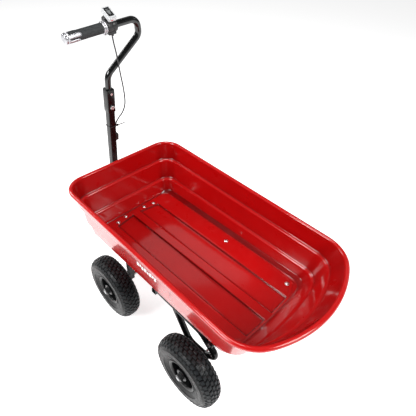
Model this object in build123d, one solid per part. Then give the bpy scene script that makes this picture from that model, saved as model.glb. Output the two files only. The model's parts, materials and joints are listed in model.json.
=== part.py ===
"""Motorised garden dump cart: pressed steel tray on a tube chassis, with a steering drawbar.

Millimetres. +X points forward, towards the drawbar, +Y to the cart's left and +Z up.
The origin is on the ground under the middle of the cart.
"""
from build123d import *
from math import atan, cos, degrees, pi, radians, sin, tan
import os

# ---------------------------------------------------------------- driving dimensions
CART_LENGTH = 1044.8
TRAY_LENGTH = 949.4
TRAY_REAR_X = -CART_LENGTH / 2
TRAY_FRONT_X = TRAY_REAR_X + TRAY_LENGTH
RIM_TOP_Z = 514.0
BEAD_R = 8.0
BEAD_WALL = 1.3
SHEET = 1.5

WHEEL_R = 130.0
TYRE_HALF_WIDTH = 39.0
AXLE_Z = WHEEL_R
AXLE_R = 8.0
FRONT_AXLE_X = 198.8
REAR_AXLE_X = -243.0
FRONT_WHEEL_Y = 225.0
REAR_WHEEL_Y = 240.0
RUNNING = 0.06
GAP = 0.3

FLOOR_REF_X = -23.0
FLOOR_REF_Z = 294.6
FLOOR_SLOPE = atan(0.0411)

PIVOT_X = -273.0
PIVOT_Z = 252.0
PIVOT_R = 6.0

HOOP_Y = 171.0
TUBE_R = 11.0
TUBE_BORE_R = 9.4

BAR = 20.0
FORK_Y = 148.0
FORK_TOP_Z = 258.0
KINGPIN_R = 6.0

POST_PIVOT_X = 502.8
POST_PIVOT_Z = 165.0
POST_LEAN = degrees(atan(0.1065))
POST = 25.0
POST_BORE = 22.6
SLEEVE = 30.0
HANDLE_R = 11.1
HANDLE_BORE_R = 9.4

GEAR_MODULE = 2.0
GEAR_TEETH = 40
PINION_TEETH = 12
GEAR_CENTRES = GEAR_MODULE * (GEAR_TEETH + PINION_TEETH) / 2 + 0.3

os.makedirs("parts", exist_ok=True)


def write(name, shape):
    """Write one sub-part under its node name."""
    export_step(shape, f"parts/{name}.step")


def floor_z(x):
    """Height of the tray floor's upper face at a station x."""
    return FLOOR_REF_Z - tan(FLOOR_SLOPE) * (x - FLOOR_REF_X)


def cylinder_y(radius, y_low, y_high, x=0.0, z=0.0):
    """Solid cylinder along Y between two Y stations."""
    disc = Pos(x, y_low, z) * Rot(-90, 0, 0) * Circle(radius)
    return extrude(disc, y_high - y_low, dir=(0, 1, 0))


def ring_y(outer, inner, y_low, y_high, x=0.0, z=0.0):
    """Hollow cylinder along Y."""
    return cylinder_y(outer, y_low, y_high, x, z) - cylinder_y(inner, y_low, y_high, x, z)


def cylinder_z(radius, z_low, z_high, x=0.0, y=0.0):
    """Solid cylinder along Z between two heights."""
    return extrude(Pos(x, y, z_low) * Circle(radius), z_high - z_low)


def cylinder_x(radius, x_low, x_high, y=0.0, z=0.0):
    """Solid cylinder along X between two X stations."""
    disc = Pos(x_low, y, z) * Rot(0, 90, 0) * Circle(radius)
    return extrude(disc, x_high - x_low, dir=(1, 0, 0))


def hexagon_y(flats, y_low, y_high, x=0.0, z=0.0):
    """Hexagonal prism along Y, given its size across flats."""
    face = Pos(x, y_low, z) * Rot(-90, 0, 0) * RegularPolygon(flats / 2, 6, major_radius=False)
    return extrude(face, y_high - y_low, dir=(0, 1, 0))


def hexagon_z(flats, z_low, z_high, x=0.0, y=0.0):
    """Hexagonal prism along Z, given its size across flats."""
    face = Pos(x, y, z_low) * RegularPolygon(flats / 2, 6, major_radius=False)
    return extrude(face, z_high - z_low)


def block(x_low, x_high, y_low, y_high, z_low, z_high):
    """Box between two corners."""
    size = (x_high - x_low, y_high - y_low, z_high - z_low)
    centre = ((x_low + x_high) / 2, (y_low + y_high) / 2, (z_low + z_high) / 2)
    return Pos(*centre) * Box(*size)


def plate_xz(points, y_low, y_high):
    """Flat plate with an outline in the XZ plane, between two Y stations."""
    outline = Polyline(*[(x, y_low, z) for x, z in points], close=True)
    return extrude(make_face(outline), y_high - y_low, dir=(0, 1, 0))


def swept_rod(points, radii, radius):
    """Round rod along straight runs joined by tangent arcs."""
    path = FilletPolyline(*points, radius=radii)
    start = Vector(*points[0])
    heading = Vector(*points[1]) - start
    section = Plane(origin=start, z_dir=heading) * Circle(radius)
    return sweep(section, path=path)


# ---------------------------------------------------------------- tray
# Two long panels are pressed down between a middle rib and the side strips of the floor.
PANEL_DEPTH = 5.0
PANEL_Y = (18.0, 103.0)
PANEL_REAR_X = -354.0
PANEL_FRONT_X = (341.0, 327.0)
PANEL_DRAFT = 5.0

# Each level of the pressed wall: front x, rear x, half width, front and rear corner radii,
# bow radius of the rear edge, height at FLOOR_REF_X and tilt, for the sheet's outer face.
TRAY_LEVELS = [
    (TRAY_FRONT_X - 13.5, TRAY_REAR_X + 13.5, 237.5, 64.0, 113.0, 370.0, 506.0, 0.0),
    (TRAY_FRONT_X - 21.0, TRAY_REAR_X + 48.0, 229.5, 58.0, 96.0, 400.0, 443.0, 0.010),
    (TRAY_FRONT_X - 30.0, TRAY_REAR_X + 59.0, 220.5, 50.0, 88.0, 420.0, 438.0, 0.010),
    (TRAY_FRONT_X - 37.0, TRAY_REAR_X + 103.0, 214.0, 46.0, 66.0, 800.0, 361.0, 0.020),
    (TRAY_FRONT_X - 47.0, TRAY_REAR_X + 114.0, 204.5, 38.0, 58.0, 900.0, 354.0, 0.020),
    (TRAY_FRONT_X - 52.0, TRAY_REAR_X + 146.0, 199.0, 34.0, 46.0, 1400.0, 310.0, FLOOR_SLOPE),
    (TRAY_FRONT_X - 57.3, TRAY_REAR_X + 159.3, 179.7, 28.7, 38.0, 1667.0,
     FLOOR_REF_Z + PANEL_DEPTH - SHEET, FLOOR_SLOPE),
]


def tray_section(front_x, rear_x, half_width, front_r, rear_r, bow_r, height, tilt, inset=0.0):
    """Outline of the tray at one level: rounded front corners and a bowed rear edge."""
    front = front_x - inset
    tip = rear_x + inset
    half = half_width - inset
    bow = bow_r - inset
    bow_corner_x = tip + bow - (bow ** 2 - half ** 2) ** 0.5
    sides = Polyline((bow_corner_x, -half), (front, -half), (front, half), (bow_corner_x, half))
    rear = ThreePointArc((bow_corner_x, half), (tip, 0), (bow_corner_x, -half))
    face = make_face([*sides.edges(), rear.edge()])
    corners = face.vertices().sort_by(Axis.X)
    face = fillet(corners[:2], rear_r - inset)
    corners = [v for v in face.vertices() if abs(v.X - front) < 0.01]
    face = fillet(corners, front_r - inset)
    plane = Plane(
        origin=(FLOOR_REF_X, 0, height),
        x_dir=(cos(tilt), 0, -sin(tilt)),
        z_dir=(sin(tilt), 0, cos(tilt)),
    )
    return plane * Pos(-FLOOR_REF_X, 0, 0) * face


def tray_body(inset, lift):
    """Solid bounded by the tray levels, shrunk sideways by inset and raised by lift."""
    sections = []
    for level in TRAY_LEVELS:
        values = list(level)
        is_floor = level is TRAY_LEVELS[-1]
        values[6] += lift if is_floor else 0.0
        sections.append(tray_section(*values, inset=inset))
    return loft(sections, ruled=True)


def floor_panel(side, inset, lift):
    """Tapered block that fills one pressed floor panel, shrunk by inset and raised by lift."""
    inner, outer = PANEL_Y
    front_inner, front_outer = PANEL_FRONT_X
    top = PANEL_DEPTH + 1.0
    sections = []
    for shrink, height in ((inset, top), (inset, PANEL_DEPTH), (inset + PANEL_DRAFT, 0.0)):
        corners = [
            (PANEL_REAR_X + shrink, inner + shrink), (front_inner - shrink, inner + shrink),
            (front_outer - shrink, outer - shrink), (PANEL_REAR_X + shrink, outer - shrink),
        ]
        z = height - SHEET + lift
        outline = Polyline(*[(x - FLOOR_REF_X, side * y, z) for x, y in corners], close=True)
        sections.append(make_face(outline))
    return tilted(FLOOR_REF_X, 0, FLOOR_REF_Z, loft(sections, ruled=True))


def rim_path():
    """Centre line of the rolled rim."""
    level = (TRAY_FRONT_X - BEAD_R, TRAY_REAR_X + BEAD_R, 250.0 - BEAD_R,
             76.0 - BEAD_R, 127.0 - BEAD_R, 383.0 - BEAD_R, RIM_TOP_Z - BEAD_R, 0.0)
    return tray_section(*level).wire()


# Tray bolts, as x and y. They stand on the floor's raised strips and front border.
MID_BOLT_X = -31.8
REAR_BOLT_X = -318.1
FRONT_BOLT_X = 342.4
FRONT_EDGE_BOLT_X = 352.0
BOLT_ROWS = [
    (MID_BOLT_X, 149.0),
    (REAR_BOLT_X, 149.0),
    (FRONT_BOLT_X, 90.3),
    (FRONT_EDGE_BOLT_X, 47.4),
]
BOLT_PLACES = [(x, side * y) for x, y in BOLT_ROWS for side in (1, -1)]
BOLT_R = 3.0
BOLT_HEAD_R = 7.0
BOLT_HEAD_H = 4.0
SPACER_R = 6.5


def tilted(x, y, z, shape):
    """Set a shape modelled about the origin square to the sloping floor."""
    return Pos(x, y, z) * Rot(0, degrees(FLOOR_SLOPE), 0) * shape


def tray():
    """Pressed tray with stepped walls and a hollow rolled rim."""
    outside = tray_body(0.0, 0.0)
    inside = tray_body(SHEET, SHEET)
    for side in (1, -1):
        outside += floor_panel(side, 0.0, 0.0)
        inside += floor_panel(side, SHEET / 2, SHEET)
    shell = outside - inside
    path = rim_path()
    start = path @ 0
    heading = path % 0
    ring = Plane(origin=start, z_dir=heading) * (Circle(BEAD_R) - Circle(BEAD_R - BEAD_WALL))
    body = shell + sweep(ring, path=path)
    for x, y in BOLT_PLACES:
        body -= tilted(x, y, floor_z(x), Cylinder(BOLT_R + 0.1, 6 * PANEL_DEPTH))
    return body


def bolt_solid(grip):
    """Domed bolt standing on the floor, its shank reaching down through grip."""
    sphere_r = (BOLT_HEAD_R ** 2 + BOLT_HEAD_H ** 2) / (2 * BOLT_HEAD_H)
    dome = Pos(0, 0, BOLT_HEAD_H - sphere_r) * Sphere(sphere_r)
    head = dome & Pos(0, 0, BOLT_HEAD_H / 2) * Cylinder(BOLT_HEAD_R, BOLT_HEAD_H)
    return head + cylinder_z(BOLT_R, -grip, BOLT_HEAD_H / 2)


CRADLE_H = 20.0
CRADLE_WALL = 2.0
LATCH_PLATE = 3.0
BOLT_END = 9.0


def bolt_grip(x):
    """Length of shank below the floor's upper face at a bolt station."""
    return SHEET + (CRADLE_H if x < 0 else LATCH_PLATE) + BOLT_END


def tray_bolts():
    """The eight domed bolts in the tray floor, each with its spacer and its nut underneath."""
    pieces = []
    spacer_top = (PANEL_DEPTH - SHEET) * cos(FLOOR_SLOPE)
    for x, y in BOLT_PLACES:
        top = bolt_grip(x) - BOLT_END
        nut = hexagon_z(10.0, -top - 5.0, -top) - cylinder_z(BOLT_R, -top - 5.0, -top)
        bolt = Pos(0, 0, PANEL_DEPTH) * bolt_solid(bolt_grip(x) + PANEL_DEPTH)
        spacer = cylinder_z(SPACER_R, -SHEET, spacer_top)
        spacer -= cylinder_z(BOLT_R, -SHEET, spacer_top)
        for shape in (bolt, nut, spacer):
            pieces.append(tilted(x, y, floor_z(x), shape))
    return Compound(pieces)


def cradle_bar(x):
    """Square tube across the tray under one row of bolts."""
    half_len = 158.0
    half_w = 12.5
    top = -SHEET
    bar = block(-half_w, half_w, -half_len, half_len, top - CRADLE_H, top)
    bore = block(-half_w + CRADLE_WALL, half_w - CRADLE_WALL, -half_len, half_len,
                 top - CRADLE_H + CRADLE_WALL, top - CRADLE_WALL)
    bar -= bore
    for side in (1, -1):
        bar -= cylinder_z(BOLT_R + 0.1, -40, 5, 0, side * 149.0)
    return tilted(x, 0, floor_z(x), bar)


LUG_Y = (134.0, 139.0)


def pivot_lug(side):
    """Plate from the rear cradle bar down to the tray's hinge rod."""
    low = floor_z(REAR_BOLT_X) - SHEET - CRADLE_H
    points = [
        (REAR_BOLT_X - 13, low + 0.6), (REAR_BOLT_X - 13, low - 8), (PIVOT_X - 12, PIVOT_Z - 12),
        (PIVOT_X + 12, PIVOT_Z - 12), (PIVOT_X + 12, PIVOT_Z + 12), (REAR_BOLT_X + 12, low - 0.6),
    ]
    y_low, y_high = sorted((side * LUG_Y[0], side * LUG_Y[1]))
    plate = plate_xz(points, y_low, y_high)
    plate -= tilted(REAR_BOLT_X, 0, floor_z(REAR_BOLT_X),
                    block(-20, 20, -158, 158, -SHEET - CRADLE_H, 5))
    return plate - cylinder_y(PIVOT_R + RUNNING, y_low - 1, y_high + 1, PIVOT_X, PIVOT_Z)


KEEPER_X = (318.0, 322.0)
LATCH_Z = 254.0
LATCH_R = 5.0


def latch_keeper():
    """Bolted plate under the tray's front with a hanging tab for the latch bolt."""
    x_ref = FRONT_BOLT_X
    plate = block(-26, 17, -102, 102, -SHEET - LATCH_PLATE, -SHEET)
    for x, y in BOLT_PLACES:
        if x > 0:
            plate -= cylinder_z(BOLT_R + 0.1, -20, 5, x - x_ref, y)
    plate = tilted(x_ref, 0, floor_z(x_ref), plate)
    tab_top = floor_z(KEEPER_X[0]) - SHEET - LATCH_PLATE / 2
    tab = block(*KEEPER_X, -15, 15, LATCH_Z - 12, tab_top)
    tab -= cylinder_x(LATCH_R + 0.6, KEEPER_X[0] - 1, KEEPER_X[1] + 1, 0, LATCH_Z)
    return plate + tab


# ---------------------------------------------------------------- chassis
HOOP_TOP_Z = 264.0
CROSS_FRONT_X = (-8.0, 12.0)
CROSS_REAR_X = (-133.0, -113.0)
SPINE_Z = (240.0, 262.0)
HEAD_PLATE_Z = (262.0, 268.0)
HOOP_SPLIT = (-213.0, 144.9)
HOOP_UPPER = [(-8.0, HOOP_TOP_Z), (-225.0, HOOP_TOP_Z), (-303.0, 203.0), (-251.0, 150.0), HOOP_SPLIT]
HOOP_UPPER_R = [45.0, 22.0, 40.0]
HOOP_LOWER = [HOOP_SPLIT, (-176.0, 140.0), (-103.0, 257.0)]
HOOP_LOWER_R = [38.0]
AXLE_SLEEVE_R = 13.0
AXLE_SLEEVE_HALF = 15.0
BUSH_R = 10.0
BUSH_HALF = 17.0


def hoop_rods(y, radius):
    """The two swept stretches of one side hoop, joined end to end."""
    upper = swept_rod([(x, y, z) for x, z in HOOP_UPPER], HOOP_UPPER_R, radius)
    lower = swept_rod([(x, y, z) for x, z in HOOP_LOWER], HOOP_LOWER_R, radius)
    return upper + lower


def frame_hoop(side):
    """Bent side tube that carries the rear axle and the tray's hinge."""
    y = side * HOOP_Y
    axle_tube = cylinder_y(AXLE_SLEEVE_R, y - AXLE_SLEEVE_HALF, y + AXLE_SLEEVE_HALF,
                           REAR_AXLE_X, AXLE_Z)
    hinge_tube = cylinder_y(12.0, y - TUBE_R, y + TUBE_R, PIVOT_X, PIVOT_Z)
    hoop = hoop_rods(y, TUBE_R) + axle_tube + hinge_tube
    hoop -= hoop_rods(y, TUBE_BORE_R)
    hoop -= cylinder_y(BUSH_R, y - 20, y + 20, REAR_AXLE_X, AXLE_Z)
    hoop -= cylinder_y(PIVOT_R, y - 20, y + 20, PIVOT_X, PIVOT_Z)
    solids = hoop.solids().sort_by(SortBy.VOLUME)
    return solids[-1]


def cross_member(x_range, z_low, half_len):
    """Square tube across the chassis between the hoops."""
    x_low, x_high = x_range
    bar = block(x_low, x_high, -half_len, half_len, z_low, z_low + BAR)
    bore = block(x_low + 2, x_high - 2, -half_len, half_len, z_low + 2, z_low + BAR - 2)
    return bar - bore


def frame_spine():
    """Rectangular tube from the front cross member to the head plate."""
    x_low = CROSS_FRONT_X[1]
    x_high = 168.0
    bar = block(x_low, x_high, -25, 25, *SPINE_Z)
    return bar - block(x_low, x_high, -23, 23, SPINE_Z[0] + 2, SPINE_Z[1] - 2)


LATCH_EARS = [(300.0, 305.0), (332.0, 337.0)]


def head_plate():
    """Plate over the steering fork, its arm and guide ears reaching forward to the latch."""
    plate = block(126, 249, -45, 45, *HEAD_PLATE_Z)
    arm = block(249, 350, -20, 20, *HEAD_PLATE_Z)
    plate = plate + arm
    plate -= cylinder_z(KINGPIN_R, 250, 280, FRONT_AXLE_X, 0)
    plate -= block(KEEPER_X[0] - 3, KEEPER_X[1] + 3, -17, 17, 250, 280)
    for x_low, x_high in LATCH_EARS:
        ear = block(x_low, x_high, -14, 14, LATCH_Z - 12, HEAD_PLATE_Z[0])
        plate += ear - cylinder_x(LATCH_R + RUNNING, x_low - 1, x_high + 1, 0, LATCH_Z)
    return plate


def latch_bolt():
    """Sliding bolt, drawn forward clear of the keeper tab, with a cranked knob stem."""
    tip = KEEPER_X[1] + 4.0
    rod = cylinder_x(LATCH_R, tip, 392.0, 0, LATCH_Z)
    stem = cylinder_z(3.0, LATCH_Z - 22, LATCH_Z, 384.0, 0)
    return rod + stem


def latch_knob():
    """Ball grip on the latch stem."""
    ball = Pos(384.0, 0, LATCH_Z - 26) * Sphere(8.0)
    return ball - cylinder_z(3.0, LATCH_Z - 22, LATCH_Z, 384.0, 0)


def kingpin():
    """Steering pivot bolt on the head plate, its thrust washer and its lock nut."""
    shank = cylinder_z(KINGPIN_R, 226, 270, FRONT_AXLE_X, 0)
    bolt = shank + hexagon_z(19.0, HEAD_PLATE_Z[1], HEAD_PLATE_Z[1] + 8, FRONT_AXLE_X, 0)
    washer_z = FORK_TOP_Z + GAP
    nut_z = FORK_TOP_Z - BAR - GAP
    washer = cylinder_z(20.0, washer_z, HEAD_PLATE_Z[0], FRONT_AXLE_X, 0) - shank
    nut = hexagon_z(19.0, nut_z - 10, nut_z, FRONT_AXLE_X, 0) - shank
    return Compound([bolt, washer, nut])


def axle_bushes():
    """Plain flanged bushes in the hoops for the live rear axle."""
    bushes = []
    for side in (1, -1):
        y = side * HOOP_Y
        bushes.append(ring_y(BUSH_R, AXLE_R + RUNNING, y - BUSH_HALF, y + BUSH_HALF,
                             REAR_AXLE_X, AXLE_Z))
    return Compound(bushes)


def hinge_rod():
    """Rod that the tray tips on, held in both hoops."""
    return cylinder_y(PIVOT_R, -HOOP_Y - 14, HOOP_Y + 14, PIVOT_X, PIVOT_Z)


def rest_pads():
    """Rubber pads that the lowered tray rests on."""
    x_low, x_high = CROSS_REAR_X
    z_low = HOOP_TOP_Z + BAR / 2
    z_high = floor_z(x_high) - SHEET - GAP
    return Compound([block(x_low, x_high, y - 15, y + 15, z_low, z_high) for y in (80, -80)])


BATTERY_X = (-138.0, 27.0)
BATTERY_Y = 70.0
BATTERY_Z = (140.0, 216.0)
LID_TOP = 238.0


def battery_case():
    """Open-topped battery case."""
    case = block(*BATTERY_X, -BATTERY_Y, BATTERY_Y, *BATTERY_Z)
    case = fillet(case.edges().filter_by(Axis.Z), 8)
    inner = block(BATTERY_X[0] + 3, BATTERY_X[1] - 3, -BATTERY_Y + 3, BATTERY_Y - 3,
                  BATTERY_Z[0] + 3, BATTERY_Z[1])
    return case - inner


def battery_lid():
    """Lid of the battery case with a shallow crown."""
    lid = block(*BATTERY_X, -BATTERY_Y, BATTERY_Y, BATTERY_Z[1], LID_TOP)
    lid = fillet(lid.edges().filter_by(Axis.Z), 8)
    inner = block(BATTERY_X[0] + 3, BATTERY_X[1] - 3, -BATTERY_Y + 3, BATTERY_Y - 3,
                  BATTERY_Z[1], LID_TOP - 3)
    return lid - inner


def batteries():
    """Two sealed cells side by side in the case."""
    cells = []
    for y in (33.0, -33.0):
        cells.append(block(-131, 20, y - 32, y + 32, BATTERY_Z[0] + 3, 231))
    return Compound(cells)


def battery_straps():
    """Steel straps that hang the case from the cross members."""
    straps = []
    for x_low, top in ((CROSS_REAR_X[0], HOOP_TOP_Z - BAR / 2), (CROSS_FRONT_X[0], SPINE_Z[0])):
        outer = block(x_low, x_low + BAR, -BATTERY_Y - 3, BATTERY_Y + 3, BATTERY_Z[0] - 3, top)
        inner = block(x_low, x_low + BAR, -BATTERY_Y, BATTERY_Y, BATTERY_Z[0], top)
        straps.append(outer - inner)
    return Compound(straps)


def controller():
    """Finned motor controller under the spine."""
    box = block(62, 122, -35, 35, 212, SPINE_Z[0])
    for index in range(6):
        y = -27.5 + 11 * index
        box -= block(62, 122, y - 1.5, y + 1.5, 212, 220)
    return box


# ---------------------------------------------------------------- rear drive
def gear(teeth, width, y_low, bore_r):
    """Spur gear about Y at the origin with straight-sided teeth, the first one towards +X."""
    pitch_r = GEAR_MODULE * teeth / 2
    tip_r = pitch_r + 0.8 * GEAR_MODULE
    root_r = pitch_r - 1.2 * GEAR_MODULE
    step = 2 * pi / teeth
    outline = []
    for index in range(teeth):
        for radius, share in ((root_r, -0.30), (tip_r, -0.13), (tip_r, 0.13), (root_r, 0.30)):
            angle = (index + share) * step
            outline.append((radius * cos(angle), y_low, radius * sin(angle)))
    blank = extrude(make_face(Polyline(*outline, close=True)), width, dir=(0, 1, 0))
    return blank - cylinder_y(bore_r, y_low - 1, y_low + width + 1)


GEAR_Y = -9.0
GEAR_W = 18.0
PINION_X = REAR_AXLE_X + GEAR_CENTRES
CASE_Y = 14.0
MOTOR_R = 32.0


def axle_gear():
    """Large gear keyed to the rear axle, with a gap facing the pinion."""
    turn = Rot(0, 180 / GEAR_TEETH, 0)
    return Pos(REAR_AXLE_X, 0, AXLE_Z) * turn * gear(GEAR_TEETH, GEAR_W, GEAR_Y, AXLE_R)


def motor_pinion():
    """Motor shaft with its pinion, a tooth facing the large gear."""
    teeth = gear(PINION_TEETH, GEAR_W, GEAR_Y, 4.0)
    shaft = cylinder_y(4.0, GEAR_Y, CASE_Y + 12)
    return Pos(PINION_X, 0, AXLE_Z) * (teeth + shaft)


def case_outline(grow, y_low, y_high):
    """Slot-shaped solid around both gears."""
    big = cylinder_y(44 + grow, y_low, y_high, REAR_AXLE_X, AXLE_Z)
    small = cylinder_y(18 + grow, y_low, y_high, PINION_X, AXLE_Z)
    slope = (44 - 18) / GEAR_CENTRES
    run = (1 - slope ** 2) ** 0.5
    points = []
    for radius, x in ((44 + grow, REAR_AXLE_X), (18 + grow, PINION_X)):
        points.append((x + radius * slope, AXLE_Z + radius * run))
    mirrored = [(x, 2 * AXLE_Z - z) for x, z in reversed(points)]
    return big + small + plate_xz(points + mirrored, y_low, y_high)


def gear_case(side):
    """One half of the gear case, split at the cart's middle."""
    y_low, y_high = sorted((0.0, side * CASE_Y))
    inner_low, inner_high = sorted((0.0, side * (CASE_Y - 3)))
    half = case_outline(3, y_low, y_high) - case_outline(0, inner_low, inner_high)
    half -= cylinder_y(AXLE_R + RUNNING, y_low - 1, y_high + 1, REAR_AXLE_X, AXLE_Z)
    if side > 0:
        half -= cylinder_y(4.0 + RUNNING, y_low, y_high + 1, PINION_X, AXLE_Z)
    return half


def motor():
    """Drive motor bolted to the left case half, with a blind hole for its shaft."""
    can = cylinder_y(MOTOR_R, CASE_Y, CASE_Y + 95, PINION_X, AXLE_Z)
    can = chamfer(can.edges().filter_by(GeomType.CIRCLE), 3)
    return can - cylinder_y(4.0 + RUNNING, CASE_Y - 1, CASE_Y + 13, PINION_X, AXLE_Z)


def motor_hanger():
    """Web from the rear cross member down to the motor."""
    x_low, x_high = CROSS_REAR_X
    z_low = HOOP_TOP_Z - BAR / 2
    points = [
        (x_low, z_low), (x_high - 12, z_low), (PINION_X + 26, AXLE_Z + 22),
        (PINION_X + 12, AXLE_Z + MOTOR_R - 2),
    ]
    web = plate_xz(points, 76, 82)
    return web - cylinder_y(MOTOR_R, CASE_Y, CASE_Y + 95, PINION_X, AXLE_Z)


# ---------------------------------------------------------------- wheels
HUB_HALF = 30.0
AXLE_END = 46.0
BEARING_R = 17.5
BEARING_W = 11.0
RIM_R = 52.0
BEAD_HALF = 26.0
RIM_BOLT_R = 28.2
RIM_BOLT_ANGLES = [45.0, 135.0, 225.0, 315.0]


def revolved(profile, closed_by=None):
    """Revolve an outline of (radius, y) points about the Y axis."""
    outline = Polyline(*[(r, y, 0) for r, y in profile], close=True)
    face = make_face(outline)
    if closed_by:
        face = fillet(face.vertices(), closed_by)
    return revolve(face, Axis.Y)


def tyre():
    """Pneumatic tyre casing, open towards the rim."""
    outer = [
        (RIM_R, -BEAD_HALF), (62, -BEAD_HALF - 2), (78, -TYRE_HALF_WIDTH + 1),
        (96, -TYRE_HALF_WIDTH), (115, -34), (126.5, -24), (WHEEL_R, -12), (WHEEL_R, 12),
        (126.5, 24), (115, 34), (96, TYRE_HALF_WIDTH), (78, TYRE_HALF_WIDTH - 1),
        (62, BEAD_HALF + 2), (RIM_R, BEAD_HALF), (RIM_R, 17), (63, 18), (79, 30),
        (96, 32), (111, 28), (120, 18), (122, 0), (120, -18), (111, -28), (96, -32),
        (79, -30), (63, -18), (RIM_R, -17),
    ]
    return revolved(outer)


def rim(bore_r):
    """Two-piece pressed rim, deep dished, on a tubular hub."""
    barrel = [
        (RIM_R, -28.5), (RIM_R, 28.5), (59, 30), (60, 31.5), (57, 32), (49.4, 30), (49.4, -30),
        (57, -32), (60, -31.5), (59, -30),
    ]
    web = [(20, -11), (34, -11), (43, -8), (50.5, -8), (50.5, -5), (43, -5), (35, -8), (20, -8)]
    shape = revolved(barrel) + revolved(web)
    shape += ring_y(22.0, bore_r, -HUB_HALF, HUB_HALF)
    for x, z in rim_bolt_places():
        shape -= cylinder_y(3.1, -13, -3, x, z)
    return shape


def rim_bolt_places():
    """Centres of the four bolts round the dish, as x and z from the hub."""
    angles = [radians(angle) for angle in RIM_BOLT_ANGLES]
    return [(RIM_BOLT_R * cos(angle), RIM_BOLT_R * sin(angle)) for angle in angles]


def rim_bolts():
    """Four bolts and nuts round the dish."""
    bolts = []
    for x, z in rim_bolt_places():
        shank = cylinder_y(3.0, -15, -2, x, z)
        nut = hexagon_y(10.0, -8, -2, x, z)
        head = hexagon_y(10.0, -16, -11, x, z)
        bolts.append(shank + nut + head)
    return Compound(bolts)


def bearings():
    """Ball bearing in each end of a front hub."""
    rings = []
    for y_low in (-HUB_HALF, HUB_HALF - BEARING_W):
        rings.append(ring_y(BEARING_R, AXLE_R + RUNNING, y_low, y_low + BEARING_W))
    return Compound(rings)


def wheel_place(x, y):
    """Where a wheel goes, its dish towards the outside."""
    turn = Rot(0, 0, 0) if y > 0 else Rot(0, 0, 180)
    return Pos(x, y, AXLE_Z) * turn


def axle_fittings(x, wheel_y, spacer_inner, spacer_outer):
    """Nut and washer outside each wheel of one axle, and a spacer tube inside it."""
    ends = []
    for side in (1, -1):
        face = wheel_y + HUB_HALF
        washer_y = sorted((side * (face + GAP), side * (face + 2.8)))
        nut_y = sorted((side * (face + 2.8), side * (face + 13)))
        washer = ring_y(15.0, AXLE_R, *washer_y, x, AXLE_Z)
        nut = hexagon_y(24.0, *nut_y, x, AXLE_Z) - cylinder_y(AXLE_R, *nut_y, x, AXLE_Z)
        spacer_y = sorted((side * spacer_inner, side * spacer_outer))
        ends.append(washer + nut)
        ends.append(ring_y(11.0, AXLE_R, *spacer_y, x, AXLE_Z))
    return Compound(ends)


# ---------------------------------------------------------------- steering fork
def fork_crossbar():
    """Square tube over the front axle, with the kingpin boss."""
    half = FORK_Y + BAR / 2
    x_low = FRONT_AXLE_X - BAR / 2
    x_high = FRONT_AXLE_X + BAR / 2
    bar = block(x_low, x_high, -half, half, FORK_TOP_Z - BAR, FORK_TOP_Z)
    bar -= block(x_low + 2, x_high - 2, -half + 2, half - 2, FORK_TOP_Z - BAR + 2, FORK_TOP_Z - 2)
    bar += cylinder_z(9.0, FORK_TOP_Z - BAR, FORK_TOP_Z, FRONT_AXLE_X, 0)
    return bar - cylinder_z(KINGPIN_R + RUNNING, 220, 270, FRONT_AXLE_X, 0)


def fork_leg(side):
    """Square upright from the crossbar down to the front axle."""
    y = side * FORK_Y
    low = AXLE_Z - 14.0
    high = FORK_TOP_Z - BAR
    leg = block(FRONT_AXLE_X - 10, FRONT_AXLE_X + 10, y - 10, y + 10, low, high)
    leg -= block(FRONT_AXLE_X - 8, FRONT_AXLE_X + 8, y - 8, y + 8, low + 26, high)
    return leg - cylinder_y(AXLE_R, y - 11, y + 11, FRONT_AXLE_X, AXLE_Z)


TONGUE_Y = (13.3, 18.3)
TONGUE_TOP = (FRONT_AXLE_X + BAR / 2, FORK_TOP_Z)


def tongue_arm(side):
    """Flat bar from the fork forward and down to the drawbar's hinge."""
    x0, z0 = TONGUE_TOP
    points = [
        (x0, z0), (x0, z0 - BAR), (POST_PIVOT_X - 12, POST_PIVOT_Z - 16),
        (POST_PIVOT_X + 12, POST_PIVOT_Z - 16), (CART_LENGTH / 2, POST_PIVOT_Z - 8),
        (CART_LENGTH / 2, POST_PIVOT_Z + 8), (POST_PIVOT_X + 8, POST_PIVOT_Z + 16),
        (POST_PIVOT_X - 22, POST_PIVOT_Z + 22),
    ]
    y_low, y_high = sorted((side * TONGUE_Y[0], side * TONGUE_Y[1]))
    arm = plate_xz(points, y_low, y_high)
    return arm - cylinder_y(6.0, y_low - 1, y_high + 1, POST_PIVOT_X, POST_PIVOT_Z)


def tongue_stop():
    """Block between the arms that the upright drawbar rests against."""
    lean = tan(radians(POST_LEAN))
    z_low, z_high = POST_PIVOT_Z + 12, POST_PIVOT_Z + 30
    half = POST / 2 / cos(radians(POST_LEAN)) + GAP
    points = [(POST_PIVOT_X - half - 24, z_low), (POST_PIVOT_X - half - 24, z_high)]
    for z in (z_high, z_low):
        points.append((POST_PIVOT_X - half - lean * (z - POST_PIVOT_Z), z))
    return plate_xz(points, -TONGUE_Y[0], TONGUE_Y[0])


def drawbar_pivot_bolt():
    """Hinge bolt of the drawbar with its nut."""
    shank = cylinder_y(6.0, -29, 24, POST_PIVOT_X, POST_PIVOT_Z)
    head = hexagon_y(19.0, TONGUE_Y[1], TONGUE_Y[1] + 7.5, POST_PIVOT_X, POST_PIVOT_Z)
    nut = hexagon_y(19.0, -TONGUE_Y[1] - 9, -TONGUE_Y[1], POST_PIVOT_X, POST_PIVOT_Z)
    return shank + head + nut


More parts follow.
